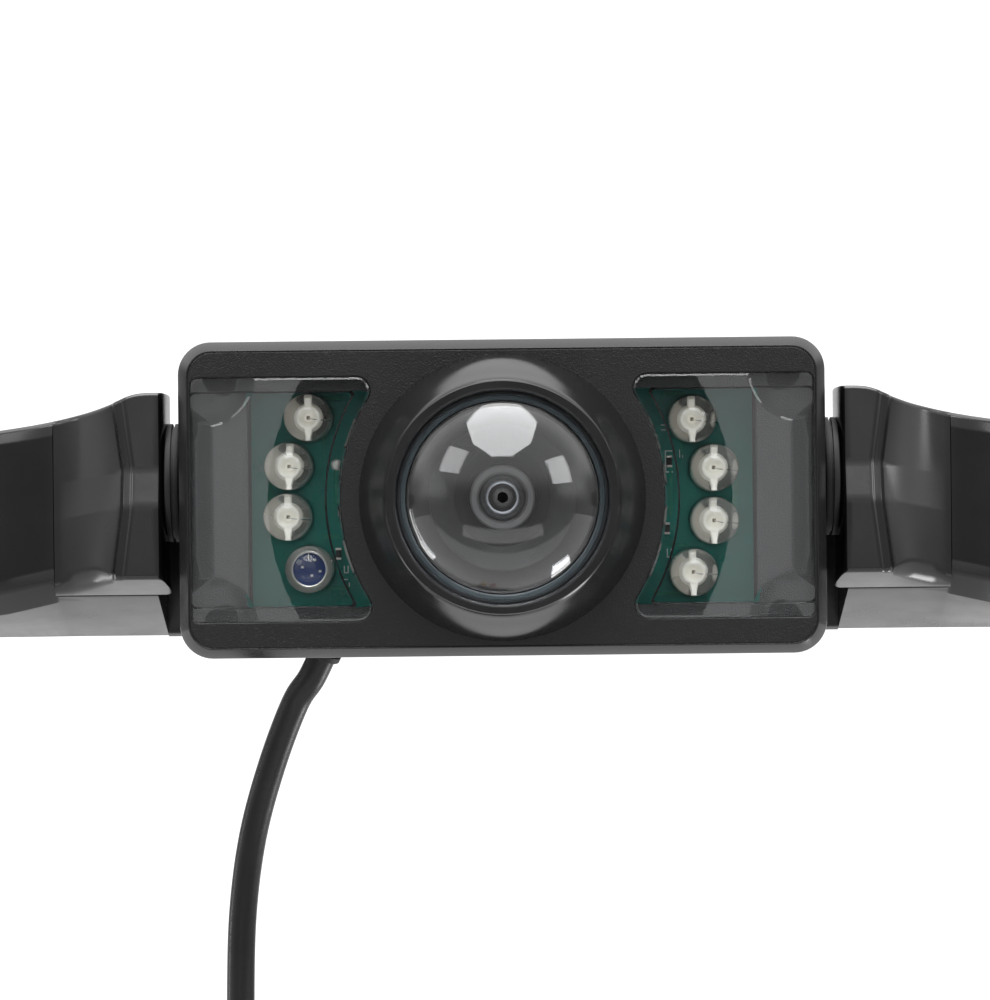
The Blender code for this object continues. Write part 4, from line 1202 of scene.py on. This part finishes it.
def wramp(value, lo, hi, a, b):
    """Smooth step of value from lo to hi, giving a to b."""
    m = wn.nodes.new("ShaderNodeMapRange")
    m.interpolation_type = "SMOOTHSTEP"
    put(m, {"From Min": lo, "From Max": hi, "To Min": a, "To Max": b})
    link(wn, value, m.inputs["Value"])
    return m.outputs["Result"]


wdir = wn.nodes.new("ShaderNodeTexCoord")
split = wn.nodes.new("ShaderNodeSeparateXYZ")
link(wn, wdir.outputs["Generated"], split.inputs[0])
wx, wy, wz = split.outputs
front = wramp(wz, 0.05, 0.45, 0.42, 1.0)
card = wmath("MULTIPLY", wramp(wy, -0.9925, -0.975, 1.0, 0.0), wramp(wz, -0.12, 0.2, 0.9, 1.3))
front = wmath("MAXIMUM", front, card)
side_level = wramp(wz, -0.1, 0.15, 0.45, 1.2)
flank = wmath("MULTIPLY", wramp(wmath("ABSOLUTE", wx), 0.7, 0.95, 0.0, 1.0), side_level)
front = wmath("MAXIMUM", front, flank)
behind = wramp(wy, -0.1, 0.25, 0.0, 1.0)
backdrop = wmath("MAXIMUM", wramp(wz, 0.12, 0.42, 0.4, 1.35), wramp(wy, 0.75, 0.93, 0.4, 1.25))
ahead = wmath("MULTIPLY", front, wmath("SUBTRACT", 1.0, behind))
level = wmath("ADD", ahead, wmath("MULTIPLY", behind, backdrop))
link(wn, level, wn.nodes["Background"].inputs["Strength"])


def raised(degrees):
    """A direction in front of the camera head, so many degrees above level."""
    a = math.radians(degrees)
    return (0, -math.cos(a), math.sin(a))


panel("softbox", raised(77), 0.9, 0.49, 0.69, 7.0, sides=8)
panel("left_lamp", (-0.72, -0.41, 0.56), 0.9, 0.2, 0.2, 4.2)
panel("right_lamp", (0.83, -0.39, 0.39), 0.9, 0.2, 0.2, 5.0)
panel("leaf_lamp", (0.6, 0.27, -0.75), 0.2, 0.18, 0.12, 9.0)
panel("arc_lamp", (-0.875, 0.309, -0.371), 0.3, 0.05, 0.32, 8.0)
panel("low_lamp", raised(-40), 0.9, 0.8, 0.13, 1.3)
hood_mat = plastic("camera_hood", (0.004, 0.004, 0.004), 0.9)
hood_at, HOOD_R = CAM + Vector((0.001, -0.002, 0)), 0.0478
hood_turns = [2 * math.pi * k / 48 for k in range(48)]
hood_rim = [hood_at + Vector((HOOD_R * math.cos(a), 0, HOOD_R * math.sin(a))) for a in hood_turns]
plane("camera_hood", hood_rim, hood_mat)

floor_mat = plastic("pale_floor", (0.83, 0.83, 0.83), 0.7, grain=0.03, vary=0.05, tint=0.01)
FLOOR_Z = -0.2
floor_corners = [(x, y, FLOOR_Z) for x, y in ((-0.9, -0.16), (0.9, -0.16), (0.9, 0.9), (-0.9, 0.9))]
plane("floor", floor_corners, floor_mat, hidden=False)
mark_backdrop(*staged)

camera = bpy.data.cameras.new("camera")
cam = bpy.data.objects.new("camera", camera)
scene.collection.objects.link(cam)
cam.location = CAM
cam.rotation_euler = (math.radians(90), math.radians(0.6), 0)
camera.sensor_width = 36
camera.lens = 175.6
camera.clip_start = 0.01
scene.camera = cam
scene.view_settings.view_transform = "Standard"
scene.cycles.max_bounces = 14
scene.cycles.transmission_bounces = 14
scene.cycles.transparent_max_bounces = 14
scene.cycles.glossy_bounces = 6

low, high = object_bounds()
